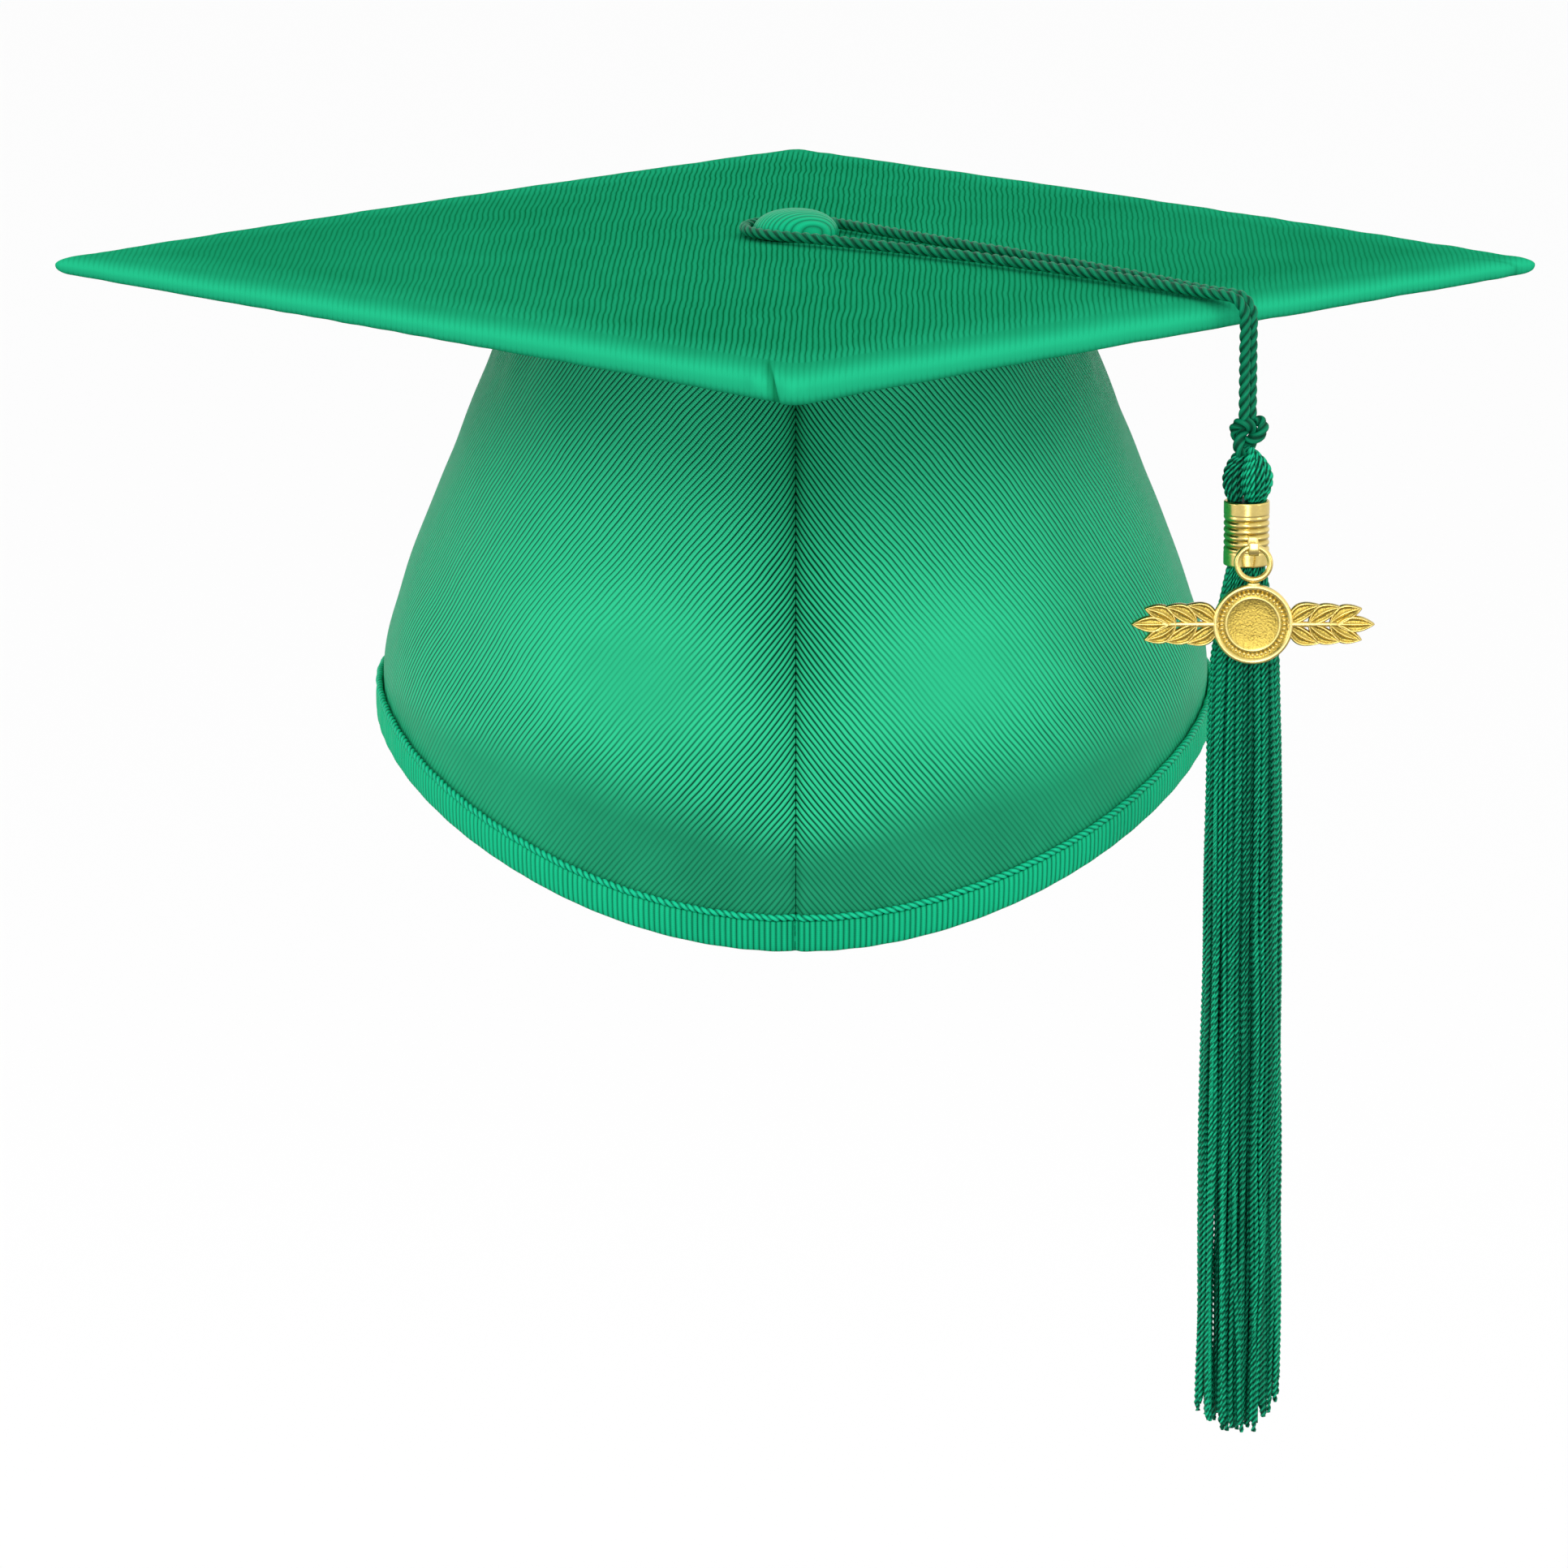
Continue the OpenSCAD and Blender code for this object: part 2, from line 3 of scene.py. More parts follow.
import bpy
import numpy as np
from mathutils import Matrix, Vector


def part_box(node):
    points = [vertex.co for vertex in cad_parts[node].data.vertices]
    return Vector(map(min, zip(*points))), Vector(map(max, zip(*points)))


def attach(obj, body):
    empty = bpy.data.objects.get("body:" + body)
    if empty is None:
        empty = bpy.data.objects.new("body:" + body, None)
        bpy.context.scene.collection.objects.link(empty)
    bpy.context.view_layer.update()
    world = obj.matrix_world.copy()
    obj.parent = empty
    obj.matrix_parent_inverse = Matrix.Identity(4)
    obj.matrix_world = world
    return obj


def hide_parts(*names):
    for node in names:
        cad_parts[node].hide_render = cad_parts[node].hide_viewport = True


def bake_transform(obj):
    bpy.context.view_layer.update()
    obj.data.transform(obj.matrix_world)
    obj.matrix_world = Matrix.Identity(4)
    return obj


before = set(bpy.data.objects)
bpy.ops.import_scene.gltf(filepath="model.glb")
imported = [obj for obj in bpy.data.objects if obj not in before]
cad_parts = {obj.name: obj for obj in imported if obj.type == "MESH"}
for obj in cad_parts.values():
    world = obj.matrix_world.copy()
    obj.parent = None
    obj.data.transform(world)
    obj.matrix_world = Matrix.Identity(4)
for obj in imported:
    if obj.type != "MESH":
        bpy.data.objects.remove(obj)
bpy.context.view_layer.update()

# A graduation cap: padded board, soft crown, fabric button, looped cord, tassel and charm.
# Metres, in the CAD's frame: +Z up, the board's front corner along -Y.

MM = 0.001

# ---- Places, from the CAD ----

BOARD_LOW, BOARD_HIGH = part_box("board_top_cover")
BUTTON_LOW, BUTTON_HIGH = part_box("button_cover")
CROWN_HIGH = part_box("crown_panel_right")[1]
FERRULE_LOW, FERRULE_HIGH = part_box("tassel_ferrule")
SKIRT_LOW, SKIRT_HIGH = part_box("tassel_skirt")
HEAD_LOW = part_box("tassel_head")[0]
KNOT_LOW, KNOT_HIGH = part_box("cord_knot")
RING_LOW, RING_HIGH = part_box("charm_ring")
CHARM_LOW, CHARM_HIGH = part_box("charm_plate")
HOOK_LOW, HOOK_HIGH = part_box("ferrule_hook")

TASSEL_X = (FERRULE_LOW.x + FERRULE_HIGH.x) / 2
TASSEL_Y = (FERRULE_LOW.y + FERRULE_HIGH.y) / 2
BOARD_EDGE = 6 * MM          # thickness at the edge, covers included
BOARD_BOTTOM = BOARD_LOW.z
BOARD_TOP = BOARD_BOTTOM + BOARD_EDGE
SWELL = BOARD_HIGH.z - BOARD_TOP
CORNER_R = 3.5 * MM
# A rounded square's corner reaches (half - r) * sqrt(2) + r from its middle
BOARD_HALF = (BOARD_HIGH.x - CORNER_R) / math.sqrt(2) + CORNER_R

# ---- Meshes from grids ----


def circle(count):
    """Angles of points evenly round a circle."""
    return np.linspace(0, 2 * np.pi, count, endpoint=False)


def points_of(*axes):
    """Points from one array for each coordinate, which are broadcast together."""
    return np.stack(np.broadcast_arrays(*axes), -1)


def wrapped(grid, axis):
    """A grid with its first row (axis 0) or column (axis 1) again at its end."""
    return np.concatenate([grid, grid.take([0], axis)], axis)


def lengths(path):
    """The length along a path at each of its points."""
    return np.concatenate([[0], np.cumsum(np.linalg.norm(np.diff(path, axis=0), axis=1))])


def closed_length(path):
    return np.linalg.norm(np.roll(path, -1, 0) - path, axis=1).sum()


class Grids:
    """Collects grids of points into one mesh of quads, with a UV in metres and, per point, a shade and
    a lightness with painted light and shade in it, which its material reads."""

    def __init__(self):
        self.points, self.quads, self.uvs, self.shades, self.tones_and_painted_light = [], [], [], [], []
        self.count = 0

    def add(self, points, wrap_rows=False, wrap_cols=False, uv=None, caps=False, shade=0.5, tone=0.5):
        """points is rows x columns x 3. With wrap_cols each row is a closed loop, and caps closes the
        first and last of them. uv has one more row or column where the grid wraps."""
        rows, cols = points.shape[:2]
        r = np.arange(rows if wrap_rows else rows - 1)[:, None]
        c = np.arange(cols if wrap_cols else cols - 1)[None, :]
        corners = [(r, c), (r, c + 1), (r + 1, c + 1), (r + 1, c)]
        quads = np.stack(
            [np.broadcast_to((i % rows) * cols + j % cols, (r.size, c.size)) for i, j in corners], -1
        ).reshape(-1, 4)
        if uv is None:
            uv = np.zeros((rows + wrap_rows, cols + wrap_cols, 2))
        quad_uvs = np.stack(
            [uv[np.broadcast_to(i, (r.size, c.size)), np.broadcast_to(j, (r.size, c.size))]
             for i, j in corners], -2
        ).reshape(-1, 4, 2)
        if caps:
            j = np.arange(cols // 2 - 1)
            first = np.stack([j, j + 1, cols - 2 - j, cols - 1 - j], -1)
            last = (rows - 1) * cols
            quads = np.concatenate([quads, first[:, ::-1], first + last])
            quad_uvs = np.concatenate([quad_uvs, uv[0][first[:, ::-1]], uv[rows - 1][first]])
        flat = points.reshape(-1, 3)
        a, b, d = (flat[quads[:, k]] for k in (0, 1, 2))
        e = flat[quads[:, 3]]
        middle = flat.mean(0)
        volume = np.einsum("ij,ij->", a - middle, np.cross(b - middle, d - middle))
        volume += np.einsum("ij,ij->", a - middle, np.cross(d - middle, e - middle))
        if volume < 0:
            quads, quad_uvs = quads[:, ::-1], quad_uvs[:, ::-1]
        self.points.append(flat)
        self.quads.append(quads + self.count)
        self.uvs.append(quad_uvs)
        self.shades.append(np.broadcast_to(np.asarray(shade, float), points.shape[:2]).reshape(-1))
        self.tones_and_painted_light.append(np.broadcast_to(np.asarray(tone, float), points.shape[:2]).reshape(-1))
        self.count += len(flat)
        return self

    def object(self, name, material):
        points = np.concatenate(self.points)
        quads = np.concatenate(self.quads)
        mesh = bpy.data.meshes.new(name)
        mesh.vertices.add(len(points))
        mesh.vertices.foreach_set("co", points.astype(np.float32).ravel())
        mesh.loops.add(quads.size)
        mesh.loops.foreach_set("vertex_index", quads.astype(np.int32).ravel())
        mesh.polygons.add(len(quads))
        mesh.polygons.foreach_set("loop_start", np.arange(0, quads.size, 4, dtype=np.int32))
        mesh.update(calc_edges=True)
        layer = mesh.uv_layers.new(name="Weave")
        layer.data.foreach_set("uv", np.concatenate(self.uvs).astype(np.float32).ravel())
        for layer, values in (("shade", self.shades), ("tone", self.tones_and_painted_light)):
            values = np.concatenate(values).astype(np.float32)
            mesh.attributes.new(layer, "FLOAT", "POINT").data.foreach_set("value", values)
        mesh.polygons.foreach_set("use_smooth", np.ones(len(quads), bool))
        mesh.materials.append(material)
        obj = bpy.data.objects.new(name, mesh)
        bpy.context.collection.objects.link(obj)
        return obj


def place(obj, body, slot, *nodes):
    """Put a finished piece on its body and hide the CAD nodes that it stands for. Its slot is not used."""
    if body:
        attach(obj, body)
    if nodes:
        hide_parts(*nodes)
    return obj


def unit(v):
    return v / np.linalg.norm(v, axis=-1, keepdims=True)


def smooth_path(points, step):
    """A Catmull-Rom curve through the points, at even steps along its length."""
    p = np.asarray(points, float)
    p = np.vstack([2 * p[0] - p[1], p, 2 * p[-1] - p[-2]])
    t = np.linspace(0, 1, 24, endpoint=False)[:, None]
    parts = []
    for a, b, c, d in zip(p[:-3], p[1:-2], p[2:-1], p[3:]):
        parts.append(0.5 * (2 * b + (c - a) * t + (2 * a - 5 * b + 4 * c - d) * t * t
                            + (3 * b - a - 3 * c + d) * t ** 3))
    fine = np.vstack(parts + [p[-2:-1]])
    along = lengths(fine)
    places = np.linspace(0, along[-1], max(4, int(along[-1] / step) + 1))
    return np.stack([np.interp(places, along, fine[:, k]) for k in range(3)], -1)


def carried_frames(path, first):
    """Two unit vectors square to the path at each point, carried along it without turning."""
    tangent = unit(np.gradient(path, axis=0))
    side = np.empty_like(path)
    v = np.asarray(first, float)
    for i, t in enumerate(tangent):
        v = v - t * (v @ t)
        v /= np.linalg.norm(v)
        side[i] = v
    return side, np.cross(tangent, side)


def ply_radius(angle, plies, ply_r, offset):
    """Outline of plies of one radius, each offset from the middle, by angle."""
    half = np.pi / plies
    a = (angle + half) % (2 * half) - half
    return offset * np.cos(a) + np.sqrt(np.maximum(ply_r ** 2 - (offset * np.sin(a)) ** 2, 0))


def add_rope(grids, path, radius, plies, lay, sides, first=(0, 1, 0), start=0.0, scale=None, shade=0.5,
             closed=False, frames=None, depth=0.8):
    """A twisted rope along a path: plies that turn once in each lay. Painted shade darkens it between plies.
    """
    side, up = frames or carried_frames(path, first)
    along = lengths(path)
    turn = start + 2 * np.pi * along / lay
    angle = 2 * np.pi * np.arange(sides) / sides
    ply_r = radius / (1 + depth)
    r = ply_radius(angle[None, :] - turn[:, None], plies, ply_r, depth * ply_r)
    # Painted shade: darker in the grooves between plies
    tone = np.clip((r - 0.8 * ply_r) / (0.2 * ply_r + depth * ply_r), 0, 1) if plies > 1 else 0.5
    if scale is not None:
        r = r * np.asarray(scale)[:, None]
    away = np.cos(angle)[None, :, None] * side[:, None, :] + np.sin(angle)[None, :, None] * up[:, None, :]
    points = path[:, None, :] + r[..., None] * away
    rows = len(path) + closed
    length = np.append(along, along[-1] + (along[1] if closed else 0))[:rows]
    turned = np.append(turn, turn[-1])[:rows]
    around = np.append(angle, 2 * np.pi)
    uv = points_of(length[:, None], (around[None, :] - turned[:, None]) * radius)
    grids.add(points, wrap_rows=closed, wrap_cols=True, uv=uv, caps=not closed, shade=shade, tone=tone)
    return grids


# ---- Materials ----


class Nodes:
    """A short way to write a material's node tree."""

    def __init__(self, name):
        self.material = bpy.data.materials.new(name)
        self.material.use_nodes = True
        self.tree = self.material.node_tree
        self.shader = self.tree.nodes["Principled BSDF"]

    def link(self, value, socket):
        if isinstance(value, bpy.types.NodeSocket):
            self.tree.links.new(value, socket)
        else:
            socket.default_value = value

    def set(self, **sockets):
        for name, value in sockets.items():
            self.link(value, self.shader.inputs[name.replace("_", " ")])
        return self

    def math(self, operation, *values):
        node = self.tree.nodes.new("ShaderNodeMath")
        node.operation = operation
        for socket, value in zip(node.inputs, values):
            self.link(value, socket)
        return node.outputs[0]

    def uv(self):
        """The weave's two coordinates, in metres."""
        node = self.tree.nodes.new("ShaderNodeUVMap")
        node.uv_map = "Weave"
        parts = self.tree.nodes.new("ShaderNodeSeparateXYZ")
        self.tree.links.new(node.outputs[0], parts.inputs[0])
        return parts.outputs[0], parts.outputs[1]

    def place(self):
        return self.tree.nodes.new("ShaderNodeTexCoord").outputs["Object"]

    def vector(self, x, y, z=0.0):
        node = self.tree.nodes.new("ShaderNodeCombineXYZ")
        for socket, value in zip(node.inputs, (x, y, z)):
            self.link(value, socket)
        return node.outputs[0]

    def noise(self, vector, scale, detail=2.0, rough=0.5):
        node = self.tree.nodes.new("ShaderNodeTexNoise")
        self.link(vector, node.inputs["Vector"])
        node.inputs["Scale"].default_value = scale
        node.inputs["Detail"].default_value = detail
        node.inputs["Roughness"].default_value = rough
        return node.outputs["Fac"]

    def attribute(self, name):
        node = self.tree.nodes.new("ShaderNodeAttribute")
        node.attribute_name = name
        return node.outputs["Fac"]

    def ramp(self, value, *stops):
        """Colours by place along the value."""
        node = self.tree.nodes.new("ShaderNodeValToRGB")
        self.link(value, node.inputs[0])
        elements = node.color_ramp.elements
        while len(elements) < len(stops):
            elements.new(0.5)
        for element, (at, colour) in zip(elements, stops):
            element.position = at
            element.color = (*colour, 1)
        return node.outputs[0]

    def range(self, value, low, high):
        """A value from 0 to 1, spread from low to high."""
        return self.math("MULTIPLY_ADD", value, high - low, low)

    def bump(self, height, distance, strength=1.0):
        node = self.tree.nodes.new("ShaderNodeBump")
        node.inputs["Strength"].default_value = strength
        node.inputs["Distance"].default_value = distance
        self.link(height, node.inputs["Height"])
        self.link(node.outputs[0], self.shader.inputs["Normal"])
        return self


GLEAM = (0.5, 1.0, 0.8, 1)  # of light off the dyed fibres


def satin(name, dark, light, pitch=1.25 * MM, rough=(0.38, 0.52), depth=0.22 * MM, gloss=0.06, stray=1.6):
    """Ribbed satin: ribs of one pitch along the weave's second coordinate, crossed by fine threads. The
    shade says how far the ribs stand out, from 0, stretched smooth, to 1, and the second attribute how light
    it is, painted light and shade included."""
    n = Nodes(name)
    across, along = n.uv()
    own = n.attribute("shade")
    drift = n.noise(n.vector(across, along), 35.0, 3.0)
    wander = n.math("MULTIPLY", n.math("SUBTRACT", drift, 0.5), stray * pitch)
    phase = n.math("MULTIPLY", n.math("ADD", across, wander), math.pi / pitch)
    rib = n.math("POWER", n.math("ABSOLUTE", n.math("SINE", phase)), 0.6)
    thread = n.math("SINE", n.math("MULTIPLY", along, 2 * math.pi / (0.45 * MM)))
    slub = n.noise(n.vector(n.math("MULTIPLY", across, 1 / pitch), n.math("MULTIPLY", along, 60.0)), 1.0, 2.0)
    cloud = n.noise(n.place(), 22.0, 3.0)
    fine = n.math("ADD", n.math("MULTIPLY", n.math("SUBTRACT", rib, 0.7), 1.7),
                  n.math("MULTIPLY", n.math("SUBTRACT", slub, 0.5), 0.5))
    # Painted light and shade from the per-point attribute, with random cloudiness
    plain = n.math("ADD", n.attribute("tone"), n.math("MULTIPLY_ADD", cloud, 0.25, -0.07))
    tone = n.math("MULTIPLY_ADD", fine, own, plain)
    n.set(Base_Color=n.ramp(tone, (0.0, dark), (1.0, light)), Roughness=n.range(slub, *rough),
          Specular_IOR_Level=gloss, Specular_Tint=GLEAM)
    height = n.math("ADD", rib, n.math("MULTIPLY_ADD", thread, 0.08, n.math("MULTIPLY", slub, 0.3)))
    n.bump(n.math("MULTIPLY", height, own), depth)
    return n.material


def plain_cloth(name, dark, light, pitch=0.7 * MM, rough=0.85):
    """Plain weave, matte."""
    n = Nodes(name)
    across, along = n.uv()
    warp = n.math("SINE", n.math("MULTIPLY", across, 2 * math.pi / pitch))
    weft = n.math("SINE", n.math("MULTIPLY", along, 2 * math.pi / pitch))
    weave = n.math("MULTIPLY", warp, weft)
    cloud = n.noise(n.place(), 60.0, 4.0)
    n.set(Base_Color=n.ramp(n.math("MULTIPLY_ADD", weave, 0.15, cloud), (0.2, dark), (0.8, light)),
          Roughness=n.range(cloud, rough - 0.1, rough), Specular_IOR_Level=0.2)
    n.bump(weave, 0.08 * MM)
    return n.material


def yarn(name, dark, light, rough=(0.35, 0.55), fibre=0.12 * MM):
    """Shiny spun yarn: fibres along the strand, a shade for each strand, which is its own and also painted
    shade where strands lie deep, and painted shade in the grooves between the plies."""
    n = Nodes(name)
    along, around = n.uv()
    lines = n.noise(n.vector(n.math("MULTIPLY", along, 0.08), around), 1 / fibre / 3, 2.0)
    own = n.attribute("shade")
    tone = n.math("ADD", n.math("MULTIPLY", lines, 0.5), n.math("MULTIPLY", own, 0.5))
    tone = n.math("MULTIPLY_ADD", n.attribute("tone"), 0.55, n.math("SUBTRACT", tone, 0.3))
    n.set(Base_Color=n.ramp(tone, (0.15, dark), (0.5, [0.22 * c for c in light]), (0.85, light)),
          Roughness=n.range(lines, *rough), Specular_IOR_Level=0.12, Specular_Tint=GLEAM)
    n.bump(lines, 0.05 * MM)
    return n.material


def gold(name, rough=(0.16, 0.3), stipple=0.0):
    """Warm plated metal, darker as painted shade where its shade is low, in recesses and grooves, with a
    stippled surface if asked.
    """
    n = Nodes(name)
    wear = n.noise(n.place(), 900.0, 4.0, 0.6)
    grain = n.noise(n.place(), 2600.0, 2.0)
    own = n.attribute("shade")
    # Painted shade: darker where the shade attribute is low, mixed with wear
    tone = n.math("ADD", n.math("MULTIPLY", wear, 0.25), n.math("MULTIPLY", own, 0.75))
    n.set(Base_Color=n.ramp(tone, (0.12, (0.16, 0.10, 0.01)), (0.5, (0.55, 0.41, 0.09)),
                            (0.9, (0.93, 0.73, 0.27))),
          Metallic=1.0, Roughness=n.range(wear, *rough))
    if stipple:
        low = n.math("SUBTRACT", 1.0, own)
        n.bump(n.math("MULTIPLY", grain, low), stipple)
    else:
        n.bump(wear, 0.01 * MM)
    return n.material


def metal(name, colour, rough):
    n = Nodes(name)
    brushed = n.noise(n.place(), 1500.0, 3.0)
    n.set(Base_Color=n.ramp(brushed, (0.3, [0.8 * c for c in colour]), (0.7, colour)), Metallic=1.0,
          Roughness=n.range(brushed, rough, rough + 0.15))
    n.bump(brushed, 0.01 * MM)
    return n.material


def matte(name, dark, light, scale, depth):
    n = Nodes(name)
    grain = n.noise(n.place(), scale, 5.0, 0.6)
    n.set(Base_Color=n.ramp(grain, (0.3, dark), (0.7, light)), Roughness=0.9)
    n.bump(grain, depth)
    return n.material


RIM_PITCH = 1.25 * MM
BOARD_SATIN = satin("board_satin", (0.0, 0.085, 0.02), (0.014, 0.43, 0.205), depth=0.2 * MM, gloss=0.0)
CROWN_SATIN = satin("crown_satin", (0.0, 0.02, 0.008), (0.028, 0.56, 0.27), pitch=1.1 * MM, depth=0.3 * MM)
RIM_SATIN = satin("rim_satin", (0.0003, 0.07, 0.03), (0.008, 0.50, 0.235), pitch=RIM_PITCH, stray=0.0)
PIPING_SATIN = yarn("piping_satin", (0.0005, 0.15, 0.065), (0.008, 0.52, 0.26))
BUTTON_SATIN = satin("button_satin", (0.0005, 0.14, 0.06), (0.006, 0.50, 0.235), pitch=1.1 * MM)
UNDER_CLOTH = plain_cloth("underside_cloth", (0.001, 0.10, 0.045), (0.004, 0.2, 0.1))
LINING = plain_cloth("lining", (0.002, 0.06, 0.03), (0.006, 0.14, 0.075), pitch=0.9 * MM)
SWEAT_CLOTH = satin("sweatband_cloth", (0.002, 0.06, 0.035), (0.008, 0.17, 0.09), pitch=0.9 * MM, gloss=0.3)
ELASTIC = satin("elastic", (0.02, 0.09, 0.06), (0.05, 0.2, 0.13), pitch=1.6 * MM, rough=(0.6, 0.8))
CORD_YARN = yarn("cord_yarn", (0.0, 0.006, 0.003), (0.004, 0.27, 0.125))
TASSEL_YARN = yarn("tassel_yarn", (0.0, 0.006, 0.003), (0.01, 0.54, 0.27))
THREAD = yarn("thread", (0.001, 0.12, 0.055), (0.006, 0.33, 0.17))
GOLD = gold("ferrule_gold")
CHARM_GOLD = gold("charm_gold", rough=(0.2, 0.36), stipple=0.12 * MM)
STEEL = metal("fixing_steel", (0.62, 0.62, 0.6), 0.3)
WADDING = matte("wadding", (0.7, 0.7, 0.68), (0.88, 0.88, 0.85), 400.0, 0.3 * MM)
CORE = matte("core_board", (0.06, 0.06, 0.06), (0.12, 0.12, 0.12), 300.0, 0.05 * MM)

# ---- Camera ----

VIEW_DISTANCE = 2.2
VIEW_ELEVATION = math.radians(12.1)
VIEW_TARGET = Vector((-2.6 * MM, 0, -18 * MM))
VIEW_LENS = 218.0


def add_camera():
    data = bpy.data.cameras.new("camera")
    data.lens = VIEW_LENS
    data.sensor_width = 36.0
    camera = bpy.data.objects.new("camera", data)
    bpy.context.collection.objects.link(camera)
    away = Vector((0, -math.cos(VIEW_ELEVATION), math.sin(VIEW_ELEVATION)))
    camera.location = VIEW_TARGET + VIEW_DISTANCE * away
    camera.rotation_euler = away.to_track_quat("Z", "Y").to_euler()
    bpy.context.scene.camera = camera


add_camera()

# ---- Cord ----

CORD_D = 2.6 * MM
CORD_ANGLE = math.atan2(TASSEL_Y, TASSEL_X)
# Half of the cord's loop: along the cord's direction, out to one side, and up
CORD_ROUTE = MM * np.array([
    [-11.6, 0, 112.1], [-10.0, 5.9, 112.1], [-5.8, 10.0, 112.1], [0, 11.6, 112.1],
    [6, 11.2, 112.1], [13, 10.0, 112.1], [20, 8.9, 112.0], [27, 8.0, 111.9],
    [34, 7.2, 111.8], [41, 6.5, 111.7], [48, 5.8, 111.5], [55, 5.2, 111.4],
    [62, 4.6, 111.2], [69, 4.1, 111.0], [76, 3.6, 110.8], [83, 3.1, 110.5],
    [90, 2.6, 110.2], [97, 2.2, 109.9], [104, 1.8, 109.5], [110, 1.5, 109.1],
    [116, 1.4, 108.8], [122.4, 1.4, 108.7],
])
BEND_R = 4.5 * MM            # of the cord over the board's edge
BEND_AT = np.array([122.5, 104.2]) * MM
DROP_REACH = BEND_AT[0] + BEND_R
STRAND_OUT = 1.33 * MM
TWIST_STEP = 0.45 * MM
CORD_LAY = 7.5 * MM


def cord_point(along, out, up):
    c, s = math.cos(CORD_ANGLE), math.sin(CORD_ANGLE)
    return points_of(along * c - out * s, along * s + out * c, up)


def half_cord(side):
    """From the back of the loop round one side of the button and down to the knot."""
    bend = np.radians([60, 30, 0])
    drop = np.array([BEND_AT[1] - 7 * MM, BEND_AT[1] - 14 * MM, KNOT_HIGH.z - 1 * MM])
    return np.vstack([
        cord_point(CORD_ROUTE[:, 0], side * CORD_ROUTE[:, 1], CORD_ROUTE[:, 2]),
        cord_point(BEND_AT[0] + BEND_R * np.cos(bend), side * STRAND_OUT, BEND_AT[1] + BEND_R * np.sin(bend)),
        cord_point(DROP_REACH, side * STRAND_OUT, drop),
    ])


def add_cord():
    """Both strands and the loop round the button, as one twisted cord from the knot back to the knot."""
    route = np.vstack([half_cord(-1)[:0:-1], half_cord(1)])
    path = smooth_path(route, TWIST_STEP)
    grids = add_rope(Grids(), path, CORD_D / 2, 3, CORD_LAY, 24, first=(1, 0, 0), shade=0.5)
    cord = grids.object("cord", CORD_YARN)
    place(cord, None, "cord_yarn", "cord_loop", "cord_bend", "cord_drop")
    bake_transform(cord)
    return cord, path


def add_knot():
    """An overhand knot: a closed trefoil of the same cord, tilted, that the strands run into."""
    t = circle(200)
    across = (np.sin(t) + 2 * np.sin(2 * t)) * 1.12 * MM
    up = (np.cos(t) - 2 * np.cos(2 * t)) * 1.38 * MM
    deep = -np.sin(3 * t) * 1.35 * MM
    middle = np.array([TASSEL_X, TASSEL_Y, (KNOT_LOW.z + KNOT_HIGH.z) / 2])
    path = middle + np.stack([across + 0.25 * up, deep, up], -1)
    side = unit(np.cross(np.gradient(path, axis=0), path - middle))
    tangent = unit(np.roll(path, -1, 0) - np.roll(path, 1, 0))
    side = unit(side - tangent * np.einsum("ij,ij->i", side, tangent)[:, None])
    grids = Grids()
    length = closed_length(path)
    add_rope(grids, path, CORD_D / 2, 3, length / round(length / CORD_LAY), 18, closed=True,
             frames=(side, np.cross(tangent, side)), shade=0.45)
    knot = grids.object("knot", CORD_YARN)
    return place(knot, "tassel_drop", "cord_yarn", "cord_knot")


CORD, CORD_PATH = add_cord()
KNOT = add_knot()

# ---- Board ----

BOARD_REACH = BOARD_HIGH.x   # from the middle to a corner
EDGE_STEP = 1.6 * MM
HEM = 13 * MM                # that the cover turns in under the board
RIB_TURN = math.radians(1.2)  # of the ribs on the board, from front to back


def board_outline():
    """The board's rounded square at its full half width, as points and outward normals, in the board's
    own square frame."""
    run = BOARD_HALF - CORNER_R
    straight = run * np.sin(np.linspace(-np.pi / 2, np.pi / 2, int(2 * run / EDGE_STEP)))
    arc = np.radians(np.linspace(0, 90, 9)[1:-1])
    points = np.vstack([
        np.stack([np.full_like(straight, BOARD_HALF), straight], -1),
        np.stack([run + CORNER_R * np.cos(arc), run + CORNER_R * np.sin(arc)], -1),
    ])
    normals = np.vstack([
        np.tile([1.0, 0.0], (len(straight), 1)), np.stack([np.cos(arc), np.sin(arc)], -1)
    ])
    turns = [np.array([[math.cos(a), -math.sin(a)], [math.sin(a), math.cos(a)]])
             for a in np.radians([0, 90, 180, 270])]
    return (np.vstack([points @ m.T for m in turns]), np.vstack([normals @ m.T for m in turns]))


OUTLINE, OUTLINE_NORMALS = board_outline()


def waves(x, y, scale, seed, octaves=3):
    """Smooth seeded noise from crossed sines, about -1 to 1."""
    rng = np.random.default_rng(seed)
    total = 0.0
    for k in range(octaves):
        for _ in range(3):
            a, phase = rng.uniform(0, 2 * np.pi, 2)
            f = 2 * np.pi / scale * 1.7 ** k * rng.uniform(0.8, 1.25)
            total = total + np.sin(f * (x * np.cos(a) + y * np.sin(a)) + phase) / 1.6 ** k / 3
    return total / 1.6


def board_turned(points):
    """From the board's square frame to the row frame, a turn of 45 degrees."""
    c = math.sqrt(0.5)
    return np.stack([c * (points[..., 0] - points[..., 1]), c * (points[..., 0] + points[..., 1])], -1)


def board_heights(xy):
    """Underside and upper edge heights by place: fuller at the front corner, thinner at the sides."""
    reach = BOARD_REACH
    front = np.clip(-xy[..., 1] / reach, 0, 1) ** 3
    side = np.abs(xy[..., 0] / reach) ** 3
    under = BOARD_BOTTOM + MM * (-1.3 * front + 0.5 * side)
    return under, BOARD_TOP + MM * (0.6 * front ** 3 - 1.0 * side - 0.25)


def board_ring(half):
    """The board's outline scaled to a half width, in the square frame."""
    return OUTLINE * (half / BOARD_HALF)


